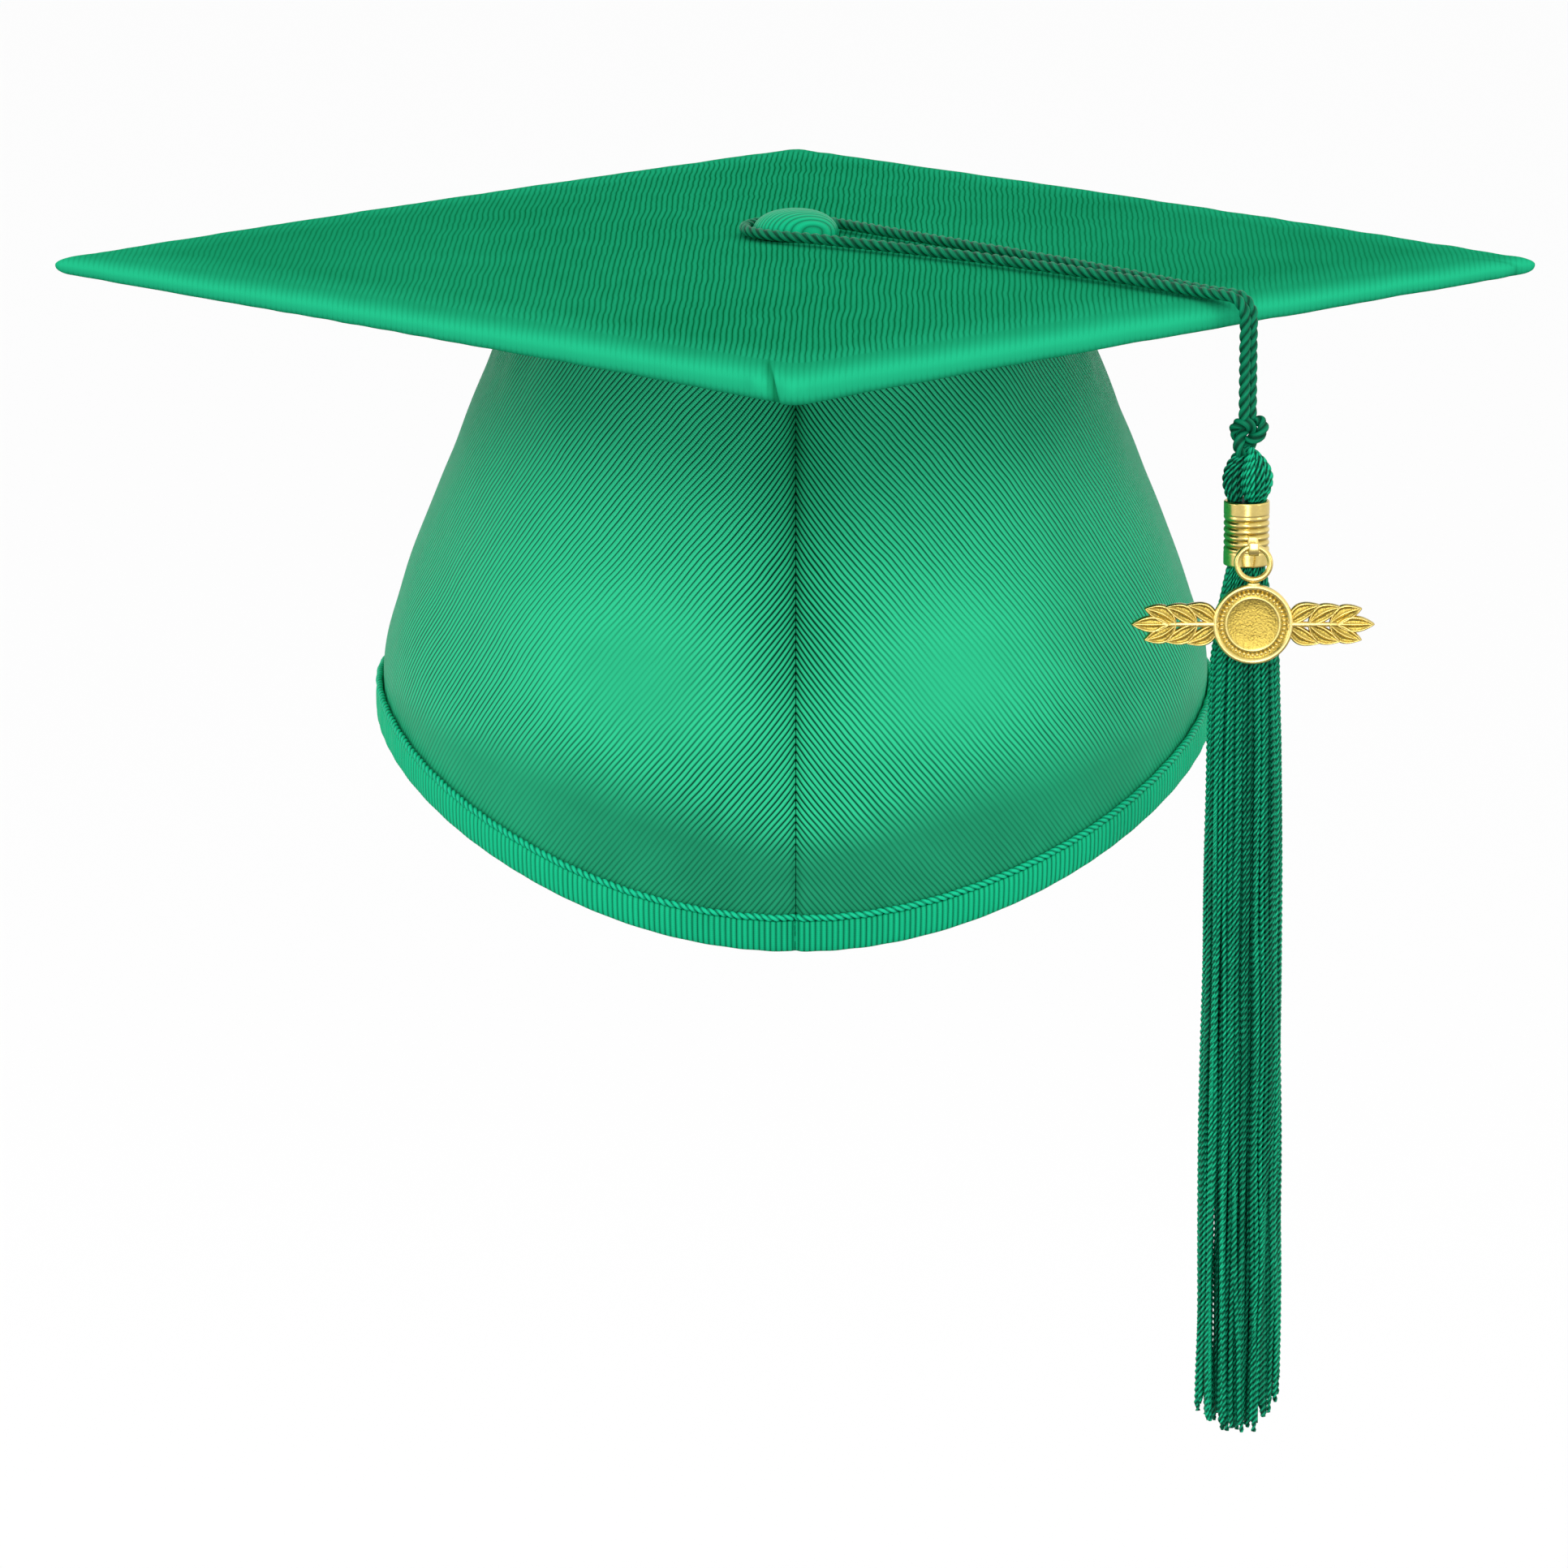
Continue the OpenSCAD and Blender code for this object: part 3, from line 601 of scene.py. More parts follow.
def board_section(skin):
    """Rings from the underside's hem round the rolled edge to the button, skin inside the outer surface,
    with the shade of each and its lightness: painted light on and near the roll, painted shade in the pleats."""
    roll = 9 * MM             # that the edge takes to round over into the top
    under = BOARD_HALF - 3 * MM
    low, high = board_heights(board_turned(OUTLINE))
    rings, shades, tones_and_painted_light = [], [], []
    for half in np.linspace(BOARD_HALF - HEM, under - 0.6 * MM, 7):
        ring = board_ring(half)
        xy = board_turned(ring)
        z = board_heights(xy)[0] + skin + 0.1 * MM * waves(xy[:, 0], xy[:, 1], 30 * MM, 5)
        rings.append((ring, z))
        shades.append(np.full_like(z, 0.6))
        tones_and_painted_light.append(np.full_like(z, 0.5))
    for a in np.radians(np.linspace(-80, 84, 26)):
        middle, half_t = (low + high) / 2, (high - low) / 2 - skin
        inset = skin + ((3 * MM if a < 0 else roll) - skin) * (1 - math.cos(a) ** 0.8)
        puff = 0.25 * MM * waves(*board_turned(OUTLINE).T, 34 * MM, 3) * math.cos(a)
        fold = edge_crease(a)
        ring = board_ring(BOARD_HALF - inset) + OUTLINE_NORMALS * (puff - fold)[:, None]
        xy = board_turned(ring)
        z = middle + half_t * np.sign(a) * np.abs(np.sin(a)) ** 0.95 + 0.15 * MM * waves(*xy.T, 22 * MM, 4)
        rings.append((ring, z + board_swell(ring)))
        shades.append(np.full_like(z, 0.14))
        # Painted light on the roll's outward face, painted shade in the pleat's crease
        tones_and_painted_light.append(0.52 + 0.48 * math.cos(a) ** 2 - np.maximum(fold, 0) / (2.2 * MM))
    top_half = BOARD_HALF - roll
    for share in np.concatenate([np.linspace(0.995, 0.9, 7), np.linspace(0.88, 0.02, 40)]):
        ring = board_ring(share * top_half)
        xy = board_turned(ring)
        near = min(1, max(0, (share - 0.5) * 2))
        z = board_heights(xy)[1] - skin + board_swell(ring) + near * 0.12 * MM * waves(*xy.T, 40 * MM, 6)
        rings.append((ring, z))
        shades.append(0.16 + 0.26 * np.exp(-(xy[:, 0] / (95 * MM)) ** 2))
        # Painted light: the top gets lighter towards the roll
        tones_and_painted_light.append(np.full_like(z, 0.36 + 0.16 * np.clip((share - 0.9) / 0.1, 0, 1)))
    points = np.stack([np.concatenate([board_turned(ring), z[:, None]], -1) for ring, z in rings])
    return points, np.stack(shades), np.stack(tones_and_painted_light)


def board_swell(ring):
    """Height that the wadding adds, by place in the board's square frame."""
    u, v = np.minimum(1, np.abs(ring.T) / BOARD_HALF)
    return SWELL * (1 - u * u) * (1 - v * v)


def edge_crease(angle):
    """The folded pleat beside each corner, as a depth for each outline point at one angle of the edge."""
    xy = board_turned(OUTLINE)
    corner = BOARD_REACH * np.array([[1, 0], [0, 1], [-1, 0], [0, -1]])
    along = np.full(len(OUTLINE), 1.0)  # far from any corner
    for c in corner:
        gap = xy - c
        ahead = np.array([-c[1], c[0]]) / BOARD_REACH
        side = gap @ ahead
        near = np.linalg.norm(gap, axis=1)
        along = np.where(near < 30 * MM, np.where(side < 0, near, near + 1.0), along)
    pleat = 1.7 * MM * np.exp(-((along - 7 * MM - 1.5 * MM * math.sin(angle)) / (1.4 * MM)) ** 2)
    puff = 1.0 * MM * np.exp(-((along - 11 * MM) / (2.6 * MM)) ** 2)
    puff = puff + 0.8 * MM * np.exp(-(along / (4 * MM)) ** 2)
    deepest = np.where(xy[:, 1] < -BOARD_REACH / 2, 1.0, 0.35)
    return deepest * (pleat - puff) * max(0.0, math.cos(angle)) ** 0.7


def board_uv(points):
    x, y, z = (points[..., k] for k in range(3))
    c, s = math.cos(RIB_TURN), math.sin(RIB_TURN)
    uv = np.stack([x * c - y * s, x * s + y * c - (z - BOARD_TOP)], -1)
    return wrapped(uv, 1)


def add_board_cover():
    outer, shade, tone = board_section(0.0)
    shell = np.concatenate([outer, board_section(0.7 * MM)[0][::-1]])
    uv = board_uv(shell)
    uv = wrapped(uv, 0)
    shade, tone = np.concatenate([shade, shade[::-1]]), np.concatenate([tone, tone[::-1]])
    cover = Grids().add(shell, wrap_rows=True, wrap_cols=True, uv=uv, shade=shade, tone=tone)
    cover = cover.object("board_cover", BOARD_SATIN)
    return place(cover, "cap", "board_satin", "board_top_cover")


def add_board_wadding():
    top = board_section(1.0 * MM)[0][20:]
    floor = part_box("board_core")[1].z + 0.1 * MM
    top[..., 2] = np.maximum(top[..., 2], floor + 0.1 * MM)
    under = top[::-1].copy()
    under[..., 2] = floor
    shell = np.concatenate([top, under])
    wadding = Grids().add(shell, wrap_rows=True, wrap_cols=True).object("board_wadding", WADDING)
    return place(wadding, "cap", "wadding", "board_padding")


def add_board_underside():
    """Cloth under the board, tucked inside the cover's hem."""
    halves = np.linspace(2 * MM, BOARD_HALF - 4 * MM, 36)
    rows = []
    for half in halves:
        xy = board_turned(board_ring(half))
        low, _ = board_heights(xy)
        tuck = 0.45 * MM * (1 if half > BOARD_HALF - HEM + 2 * MM else 0)
        z = low + tuck + 0.08 * MM * waves(xy[:, 0], xy[:, 1], 45 * MM, 8) + 0.35 * MM
        rows.append(np.concatenate([xy, z[:, None]], -1))
    lower = np.stack(rows)
    upper = lower[::-1] + np.array([0, 0, 0.25 * MM])
    shell = np.concatenate([lower, upper])
    uv = board_uv(shell)
    uv = wrapped(uv, 0)
    cloth = Grids().add(shell, wrap_rows=True, wrap_cols=True, uv=uv).object("board_underside", UNDER_CLOTH)
    return place(cloth, "cap", "underside_fabric", "board_bottom_cover")


def add_hem_stitches():
    """A running stitch along the hem under the board."""
    ring = board_turned(board_ring(BOARD_HALF - HEM + 2.5 * MM))
    low, _ = board_heights(ring)
    line = np.concatenate([ring, (low - 0.1 * MM)[:, None]], -1)
    closed = np.vstack([line, line[:1]])
    along = lengths(closed)
    grids = Grids()
    count = int(along[-1] / (4 * MM))
    for i in range(count):
        at = (i + np.linspace(-0.32, 0.32, 5)) * along[-1] / count
        path = np.stack([np.interp(at % along[-1], along, closed[:, k]) for k in range(3)], -1)
        path[:, 2] += 0.25 * MM * np.abs(np.linspace(-1, 1, 5)) ** 3
        add_rope(grids, path, 0.3 * MM, 2, 1.2 * MM, 6, first=(0, 0, 1))
    return place(grids.object("hem_stitches", THREAD), "cap", "thread")


BOARD_COVER = add_board_cover()
WADDING_PIECE = add_board_wadding()
BOARD_UNDER = add_board_underside()
add_hem_stitches()

# ---- Button ----


def add_button():
    """The button's gathered fabric, its ribs bending over the dome."""
    radius = BUTTON_HIGH.x
    height = BUTTON_HIGH.z - BUTTON_LOW.z
    a = np.radians(np.linspace(100, 0.6, 40))[:, None]
    turn = circle(120)[None, :]
    out = radius * np.abs(np.sin(np.minimum(a, np.pi / 2))) ** 0.85 * np.where(a > np.pi / 2, 0.97, 1)
    up = np.where(a > np.pi / 2, 0.0, height * np.abs(np.cos(np.minimum(a, np.pi / 2))) ** 0.9)
    low = np.clip(1 - up / (0.45 * height), 0, 1)
    gather = 1 + 0.018 * low * np.sin(23 * turn + 2 * np.sin(3 * turn)) - 0.01 * low
    x, y = out * gather * np.cos(turn), out * gather * np.sin(turn)
    points = points_of(x, y, BUTTON_LOW.z - 0.1 * MM + up)
    lean = math.radians(28)
    across = x * math.sin(lean) - y * math.cos(lean) + 0.35 * up
    along = x * math.cos(lean) + y * math.sin(lean)
    uv = points_of(across, along)
    uv = wrapped(uv, 1)
    button = Grids().add(points, wrap_cols=True, uv=uv, caps=True).object("button", BUTTON_SATIN)
    return place(button, "cap", "button_satin", "button_cover")


add_button()

# ---- Crown ----

CROWN_W = CROWN_HIGH.x
DEPTH_RATIO = CROWN_HIGH.y / CROWN_HIGH.x
CROWN_TOP = CROWN_HIGH.z
WIDEST_Z = 9 * MM
TAPER = 0.412
TAPER_ROUND = 0.18
RIB_SLOPE = math.radians(50)  # of the crown's ribs, climbing to the seam
BAND_H = 7 * MM
PIPING_R = 0.8 * MM


def rim_height(turn):
    a = np.radians(turn)
    return MM * (-12 - 11 * np.cos(a) - 12 * np.cos(2 * a))


def crown_reach(z):
    climb = (z - WIDEST_Z) / (BOARD_BOTTOM - WIDEST_Z)
    return CROWN_W * np.where(
        climb > 0, 1 - TAPER * (np.hypot(climb, TAPER_ROUND) - TAPER_ROUND), 1 - 0.08 * climb ** 2
    )


def crown_surface(turn, z, out):
    """The crown's outer surface at an angle from the front seam and a height, moved out by an amount."""
    turn, z = np.broadcast_arrays(np.asarray(turn, float), np.asarray(z, float))
    side = np.abs((turn + 180) % 360 - 180)
    rise = np.clip((z + 20 * MM) / (120 * MM), 0, 1)
    reach = crown_reach(z)
    seam = reach * np.radians(side)
    back = reach * np.radians(180 - side)
    over_rim = z - rim_height(turn)
    swing = reach * np.radians((turn + 180) % 360 - 180)
    valley = (0.8 + 15 * rise ** 1.4) * MM * np.exp(-seam / ((3 + 7 * rise) * MM))
    lip = 2.6 * MM * rise * np.exp(-((seam - 20 * MM) / (11 * MM)) ** 2)
    groove = 0.7 * MM * (np.exp(-(seam / (0.9 * MM)) ** 2) + 0.8 * np.exp(-(back / (0.9 * MM)) ** 2))
    pull = np.sin(2 * np.pi * z / (6.5 * MM) + 1.3 * np.sin(z / (9 * MM)))
    pull = 0.16 * MM * pull * (np.exp(-seam / (6 * MM)) + np.exp(-back / (6 * MM)))
    pucker = np.sin(swing / (1.25 * MM) + 1.5 * np.sin(swing / (11 * MM)))
    pucker = 0.28 * MM * pucker * np.exp(-((over_rim - BAND_H) / (7 * MM)) ** 2) * (
        0.25 + 0.75 * np.exp(-(seam / (30 * MM)) ** 2))
    drawn = np.exp(-(back / (52 * MM)) ** 4) * np.exp(-np.maximum(over_rim, 0) / (30 * MM))
    gather = 1.0 * MM * drawn * np.sin(back / (1.5 * MM) + 1.2 * np.sin(back / (8 * MM)))
    slack = 0.7 * MM * waves(swing, z, 62 * MM, 11) * np.clip(over_rim / (25 * MM), 0, 1)
    top = np.clip((z - 70 * MM) / (30 * MM), 0, 1)
    tuck = 0.5 * MM * top ** 2 * np.sin(swing / (2.6 * MM) + 2 * np.sin(swing / (17 * MM)))
    fan = np.arctan2(seam, np.maximum(CROWN_TOP + 6 * MM - z, 1 * MM))
    drape = 1.1 * MM * rise * np.sin(fan * 7 + 0.4) * np.exp(-(seam / (42 * MM)) ** 2)
    drape = drape * np.clip(seam / (9 * MM), 0, 1)
    lobe = 1 + 0.03 * rise * np.exp(-((side - 38) / 20) ** 2)
    total = out + lip - valley - groove + pull + pucker + gather + slack + tuck + drape
    a = np.radians(turn)
    return np.stack([
        (reach * lobe + total) * np.sin(a), -(reach * lobe * DEPTH_RATIO + total) * np.cos(a), z
    ], -1)


def crown_uv(turn, z):
    """Rib coordinates: ribs climb towards the front seam at one angle, mirrored across it."""
    heights = np.linspace(-0.05, BOARD_TOP, 300)
    slant = np.concatenate([[0], np.cumsum(np.hypot(np.diff(heights), np.diff(crown_reach(heights))))])
    h = np.interp(z, heights, slant)
    side = np.abs((turn + 180) % 360 - 180)
    s = crown_reach(z) * np.radians(side)
    c, k = math.cos(RIB_SLOPE), math.sin(RIB_SLOPE)
    return np.stack([h * c + s * k, s * c - h * k], -1)


def crown_shell(turns, low, high, inner, outer, rows):
    """Section loops of a standing shell: up the outside and down the inside, one column per angle.
    low is above the rim, and so is high, or None for a shell that runs up to the board."""
    foot = rim_height(turns) + low
    head = np.full_like(turns, CROWN_TOP) if high is None else rim_height(turns) + high
    up = np.linspace(0, 1, rows)[:, None]
    z_out = foot + (head - foot) * up
    z = np.concatenate([z_out, z_out[::-1]])
    out = np.concatenate([np.full(rows, outer), np.full(rows, inner)])[:, None]
    turn = np.broadcast_to(turns, z.shape)
    return crown_surface(turn, z, np.broadcast_to(out, z.shape)), crown_uv(turn, z)


def crown_painted_light(points):
    """Painted light on the crown: how far its ribs stand out and how light it is. A painted highlight on
    each side of the front, a little above the rim, smooths the ribs, as does the painted shade low down;
    painted shade also falls beside the front seam, and the top and sides are painted lighter."""
    x, y, z = (points[..., k] for k in range(3))
    front = np.clip(-y / (30 * MM), 0, 1)
    brow_highlight = np.exp(-((np.abs(x) - 36 * MM) / (30 * MM)) ** 2 - ((z - 26 * MM) / (24 * MM)) ** 2) * front
    low = np.clip((9 * MM - z + 0.25 * (np.abs(x) - 45 * MM)) / (14 * MM), 0, 1) * front
    seam = np.exp(-(x / (11 * MM)) ** 2) * np.clip((z - 8 * MM) / (30 * MM), 0, 1) * front
    flank_light = np.clip((np.abs(x) - 45 * MM) / (35 * MM), 0, 1)
    # Ribs are smoothed under the painted highlight and in the painted shade low down
    shade = np.maximum(0.15, 1.35 - 1.2 * brow_highlight - 1.1 * low)
    high = np.clip((z - 30 * MM) / (35 * MM), 0, 1)
    # Painted light: lighter towards the top, the sides and the painted highlight; painted shade low down and
    # beside the front seam
    tone = 0.6 + 0.28 * high + 0.13 * brow_highlight + 0.2 * flank_light - 0.26 * low - 0.3 * seam
    return shade, tone


def crown_strip(turns, low, high, inner, outer, rows, closed=False, straight=False):
    """A crown shell as columns of closed sections, open at its ends or closed round the head. Its weave
    follows the chevron, or is straight."""
    points, uv = crown_shell(turns, low, high, inner, outer, rows)
    if straight:
        z = points[..., 2]
        uv = np.stack([crown_reach(z) * np.radians(turns), z], -1)
    points, uv = points.transpose(1, 0, 2), uv.transpose(1, 0, 2)
    uv = wrapped(uv, 1)
    if closed:
        uv = wrapped(uv, 0)
    shade, tone = crown_painted_light(points)
    return Grids().add(points, wrap_rows=closed, wrap_cols=True, uv=uv, caps=not closed, shade=shade,
                       tone=tone)


def seam_spread(count):
    """Angles of half a turn, closest together at the front and back seams."""
    t = np.linspace(0, 1, count)
    front = 60 * t ** 1.6
    rest = 60 + 119.88 * t[1:]
    turns = np.concatenate([front, rest])
    turns[0] = 0.12
    return turns


FULL_TURN = np.concatenate([seam_spread(90), 360 - seam_spread(90)[::-1]])


def add_crown():
    pieces = []
    for name, sign in (("crown_left", -1), ("crown_right", 1)):
        panel = crown_strip(sign * seam_spread(170), 0.5 * MM, None, -0.8 * MM, 0.0, 110)
        node = "crown_panel_left" if sign < 0 else "crown_panel_right"
        pieces.append(place(panel.object(name, CROWN_SATIN), "cap", "crown_satin", node))
    return pieces


def add_inside():
    """The strips inside the crown: lining, tapes, sweatband and elastic."""
    front, back, rear = np.linspace(-4, 4, 9), np.linspace(175, 185, 9), np.linspace(147, 213, 200)
    strips = (  # name, node, slot, material, angles; foot, head, inner and outer face in mm; rows
        ("lining_cloth", "crown_interfacing", "lining", LINING, FULL_TURN, 0.5, None, -1.8, -1.0, 50),
        ("front_tape", "front_seam_tape", "lining", LINING, front, 29, None, -3.2, -2.4, 50),
        ("back_tape", "back_seam_tape", "lining", LINING, back, 29, None, -3.2, -2.4, 50),
        ("sweatband_strip", "sweatband", "sweatband_fabric", SWEAT_CLOTH, FULL_TURN, 1, 26, -3.4, -2.4, 14),
        ("elastic_strip", "back_elastic", "elastic", ELASTIC, rear, 4, 16, -5.0, -4.0, 8),
    )
    pieces = []
    for name, node, slot, material, turns, low, high, inner, outer, rows in strips:
        strip = crown_strip(turns, low * MM, high and high * MM, inner * MM, outer * MM, rows,
                            closed=turns is FULL_TURN, straight=node != "crown_interfacing")
        pieces.append(place(strip.object(name, material), "cap", slot, node))
    return pieces


def add_flange():
    """The crown's allowance, turned in under the board with notches eased into it."""
    z = CROWN_TOP
    outs = np.linspace(-3.3 * MM, -12.9 * MM, 8)
    lower = [crown_surface(FULL_TURN, z, out) - np.array([0, 0, 0.7 * MM]) for out in outs]
    upper = [crown_surface(FULL_TURN, z, out) for out in outs[::-1]]
    shell = np.stack(lower + upper, 1)
    shell[..., 2] += 0.1 * MM * np.sin(np.radians(FULL_TURN) * 60)[:, None]
    uv = points_of(np.radians(FULL_TURN)[:, None] * 60 * MM,
                                      np.concatenate([outs, outs[::-1]])[None, :])
    uv = wrapped(uv, 1)
    uv = wrapped(uv, 0)
    flange = Grids().add(shell, wrap_rows=True, wrap_cols=True, uv=uv)
    return place(flange.object("flange", LINING), "cap", "lining", "crown_top_flange")


def add_band():
    """The rim band, ribbed across its width in its own mesh."""
    count = 2000
    turns = np.linspace(0, 360, count, endpoint=False)
    a = circle(28)[:, None]
    wide = np.sign(np.cos(a)) * np.abs(np.cos(a)) ** 0.6
    tall = np.sign(np.sin(a)) * np.abs(np.sin(a)) ** 0.75
    z = rim_height(turns)[None, :] + BAND_H / 2 * (1 + tall)
    length = 2 * np.pi * CROWN_W
    ribs = round(length / RIM_PITCH)
    rib = (0.5 + 0.5 * np.cos(np.radians(turns) * ribs)) ** 0.6
    facing = np.clip(wide, 0, 1)
    out = 0.95 * MM + 0.8 * MM * wide + 0.2 * MM * (rib[None, :] - 0.5) * facing
    middle = rim_height(turns) + BAND_H / 2
    base = crown_surface(np.broadcast_to(turns, z.shape), np.broadcast_to(middle, z.shape), 0 * z)
    away = np.stack([np.sin(np.radians(turns)), -np.cos(np.radians(turns)), 0 * turns], -1)
    slope = crown_reach(z) - crown_reach(middle)[None, :]
    points = base + away[None] * (out + slope)[..., None]
    points[..., 2] = z
    points = points.transpose(1, 0, 2)
    # Half a rib on, as the weave's own ribs start in a gap
    along = (np.radians(turns)[:, None] / (2 * np.pi) * ribs + 0.5) * RIM_PITCH
    uv = points_of(along, (BAND_H / 2 * (1 + tall[:, 0]))[None, :])
    uv = wrapped(uv, 1)
    uv = wrapped(uv, 0)
    # Painted light: lighter on the band's outer face and towards the cap's sides
    band = Grids().add(points, wrap_rows=True, wrap_cols=True, uv=uv, shade=0.55,
                       tone=0.42 + 0.15 * facing.T + 0.35 * np.sin(np.radians(turns))[:, None] ** 2)
    return place(band.object("rim_band_ribbed", RIM_SATIN), "cap", "rim_satin", "rim_band")


def add_piping():
    turns = np.linspace(0, 360, 1500, endpoint=False)
    path = crown_surface(turns, rim_height(turns) + BAND_H + 0.9 * PIPING_R, 1.1 * MM)
    tangent = unit(np.roll(path, -1, 0) - np.roll(path, 1, 0))
    side = unit(np.cross(tangent, [0.0, 0.0, 1.0]))
    length = closed_length(path)
    grids = add_rope(Grids(), path, PIPING_R, 2, length / round(length / (3.4 * MM)), 14, closed=True,
                     frames=(side, np.cross(tangent, side)), depth=0.6, shade=1.0)
    return place(grids.object("piping", PIPING_SATIN), "cap", "piping_satin", "rim_piping")


LEFT, RIGHT = add_crown()
LINING_CLOTH, FRONT_TAPE, BACK_TAPE, SWEATBAND, ELASTIC_STRIP = add_inside()
FLANGE = add_flange()
BAND = add_band()
add_piping()

# ---- Tassel ----

MID_X = np.array([TASSEL_X, TASSEL_Y, 0.0])
YARN_D = 1.15 * MM


def add_head():
    """Two lobes of looped yarn that arch up out of the ferrule and gather under the knot."""
    rng = np.random.default_rng(31)
    foot = HEAD_LOW.z - 1.0 * MM
    # Across, half width, half depth, strands, height, across at the top, set back, shade and roundness
    lobes = (
        (-3.1 * MM, 2.2 * MM, 2.8 * MM, 12, 13.6 * MM, -0.4 * MM, 0.9 * MM, 0.3, 3),
        (2.1 * MM, 3.2 * MM, 3.3 * MM, 17, 12.4 * MM, 1.2 * MM, -0.9 * MM, 0.6, 6),
    )
    made = Grids()
    for x, wide, deep, count, tall, top_x, back, own, round_over in lobes:
        for i in range(count):
            a = 2 * np.pi * (i + rng.uniform(-0.15, 0.15)) / count
            t = np.linspace(0, 1, 26)
            spread = np.sin(np.pi * (0.10 + 0.80 * t)) ** 0.8
            gather = t ** round_over
            px = x * (0.82 + 0.18 * np.sin(np.pi * t)) + (top_x - x) * gather
            px = px + wide * np.cos(a) * spread * (1 - 0.75 * gather)
            py = back * np.sin(np.pi * t) + deep * np.sin(a) * spread * (1 - 0.75 * gather)
            pz = foot + tall * t + 0.35 * MM * rng.uniform(-1, 1) * t
            path = smooth_path(MID_X + np.stack([px, py, pz], -1), 0.22 * MM)
            size = np.interp(np.linspace(0, 1, len(path)), [0, 0.2, 0.8, 1], [0.8, 1, 1, 0.75])
            add_rope(made, path, 0.6 * MM, 2, 3.6 * MM, 10, first=(0, 1, 0.1), start=rng.uniform(0, 6),
                     scale=size, shade=own + rng.uniform(-0.15, 0.2))
    # Filled centres, so that nothing shows between the strands, kept dark as painted shade
    a = circle(16)
    for x, wide, deep, _, tall, top_x, back, _, round_over in lobes:
        t = np.linspace(0, 1, 12)[:, None]
        gather = t ** round_over
        spread = np.sin(np.pi * (0.10 + 0.80 * t)) ** 0.8 * (1 - 0.75 * gather)
        middle = TASSEL_X + x * (0.82 + 0.18 * np.sin(np.pi * t)) + (top_x - x) * gather
        made.add(points_of(
            middle + 0.93 * wide * np.cos(a) * spread,
            TASSEL_Y + back * np.sin(np.pi * t) + 0.93 * deep * np.sin(a) * spread, foot + tall * t),
            wrap_cols=True, caps=True, shade=0.1)
    return place(made.object("tassel_loops", TASSEL_YARN), "tassel", "tassel_yarn", "tassel_head")


def turned(points, centre, sides):
    """A closed profile of (radius, height) pairs, turned round an upright axis."""
    a = circle(sides)[:, None]
    r, z = points[:, 0][None, :], points[:, 1][None, :]
    return points_of(centre[0] + r * np.cos(a), centre[1] + r * np.sin(a), centre[2] + z)


def add_ferrule():
    """Plated sleeve: six rolled ridges between plain margins, closed by a lapped seam at the back."""
    radius = (FERRULE_HIGH.x - FERRULE_LOW.x) / 2
    tall = FERRULE_HIGH.z - FERRULE_LOW.z
    margin, ridges, deep = 2.9 * MM, 6, 0.42 * MM
    z = np.linspace(0.35 * MM, tall - 0.35 * MM, 150)
    inside = np.clip((z - margin) / (tall - 2 * margin), 0, 1)
    ease = np.clip(np.minimum(inside, 1 - inside) * 14, 0, 1)
    wave = np.abs(np.sin(np.pi * ridges * inside)) ** 0.75
    outer = radius - deep * (1 - wave) * ease - 0.05 * MM
    lip = np.array([[radius - 0.32 * MM, 0.02 * MM], [radius - 0.12 * MM, 0.12 * MM]])
    profile = np.vstack([
        [[radius - 0.72 * MM, 0.2 * MM], [radius - 0.6 * MM, 0.05 * MM]], lip,
        np.stack([outer, z], -1),
        (lip * [1, -1] + [0, tall])[::-1],
        [[radius - 0.6 * MM, tall - 0.05 * MM], [radius - 0.72 * MM, tall - 0.2 * MM]],
    ])
    centre = (TASSEL_X, TASSEL_Y, FERRULE_LOW.z)
    shell = turned(profile, centre, 128)
    a = circle(128)
    lap = 0.25 * MM * np.exp(-(np.angle(np.exp(1j * (a - 1.9))) / 0.06) ** 2)
    middle = np.array([TASSEL_X, TASSEL_Y, 0])
    outward = unit((shell - middle) * [1, 1, 0])
    shell = shell - outward * lap[:, None, None]
    # Painted shade: darker gold in the grooves between the ridges, lighter on the ridges and margins
    depth = np.concatenate([np.full(4, 0.7), 0.45 + 0.4 * wave * ease + 0.4 * (1 - ease), np.full(4, 0.7)])
    ferrule = Grids().add(shell, wrap_rows=True, wrap_cols=True, shade=depth[None, :])
    return place(ferrule.object("ferrule", GOLD), "tassel", "ferrule_gold", "tassel_ferrule")


def swept_strip(path, side, width, thick):
    """A flat bar with rounded edges along a path; side is the unit vector across its width."""
    tangent = unit(np.gradient(path, axis=0))
    face = np.cross(tangent, side)
    a = circle(20)
    u = np.sign(np.cos(a)) * np.abs(np.cos(a)) ** 0.35 * width / 2
    v = np.sign(np.sin(a)) * np.abs(np.sin(a)) ** 0.6 * thick / 2
    return path[:, None] + u[None, :, None] * np.asarray(side) + v[None, :, None] * face[:, None]


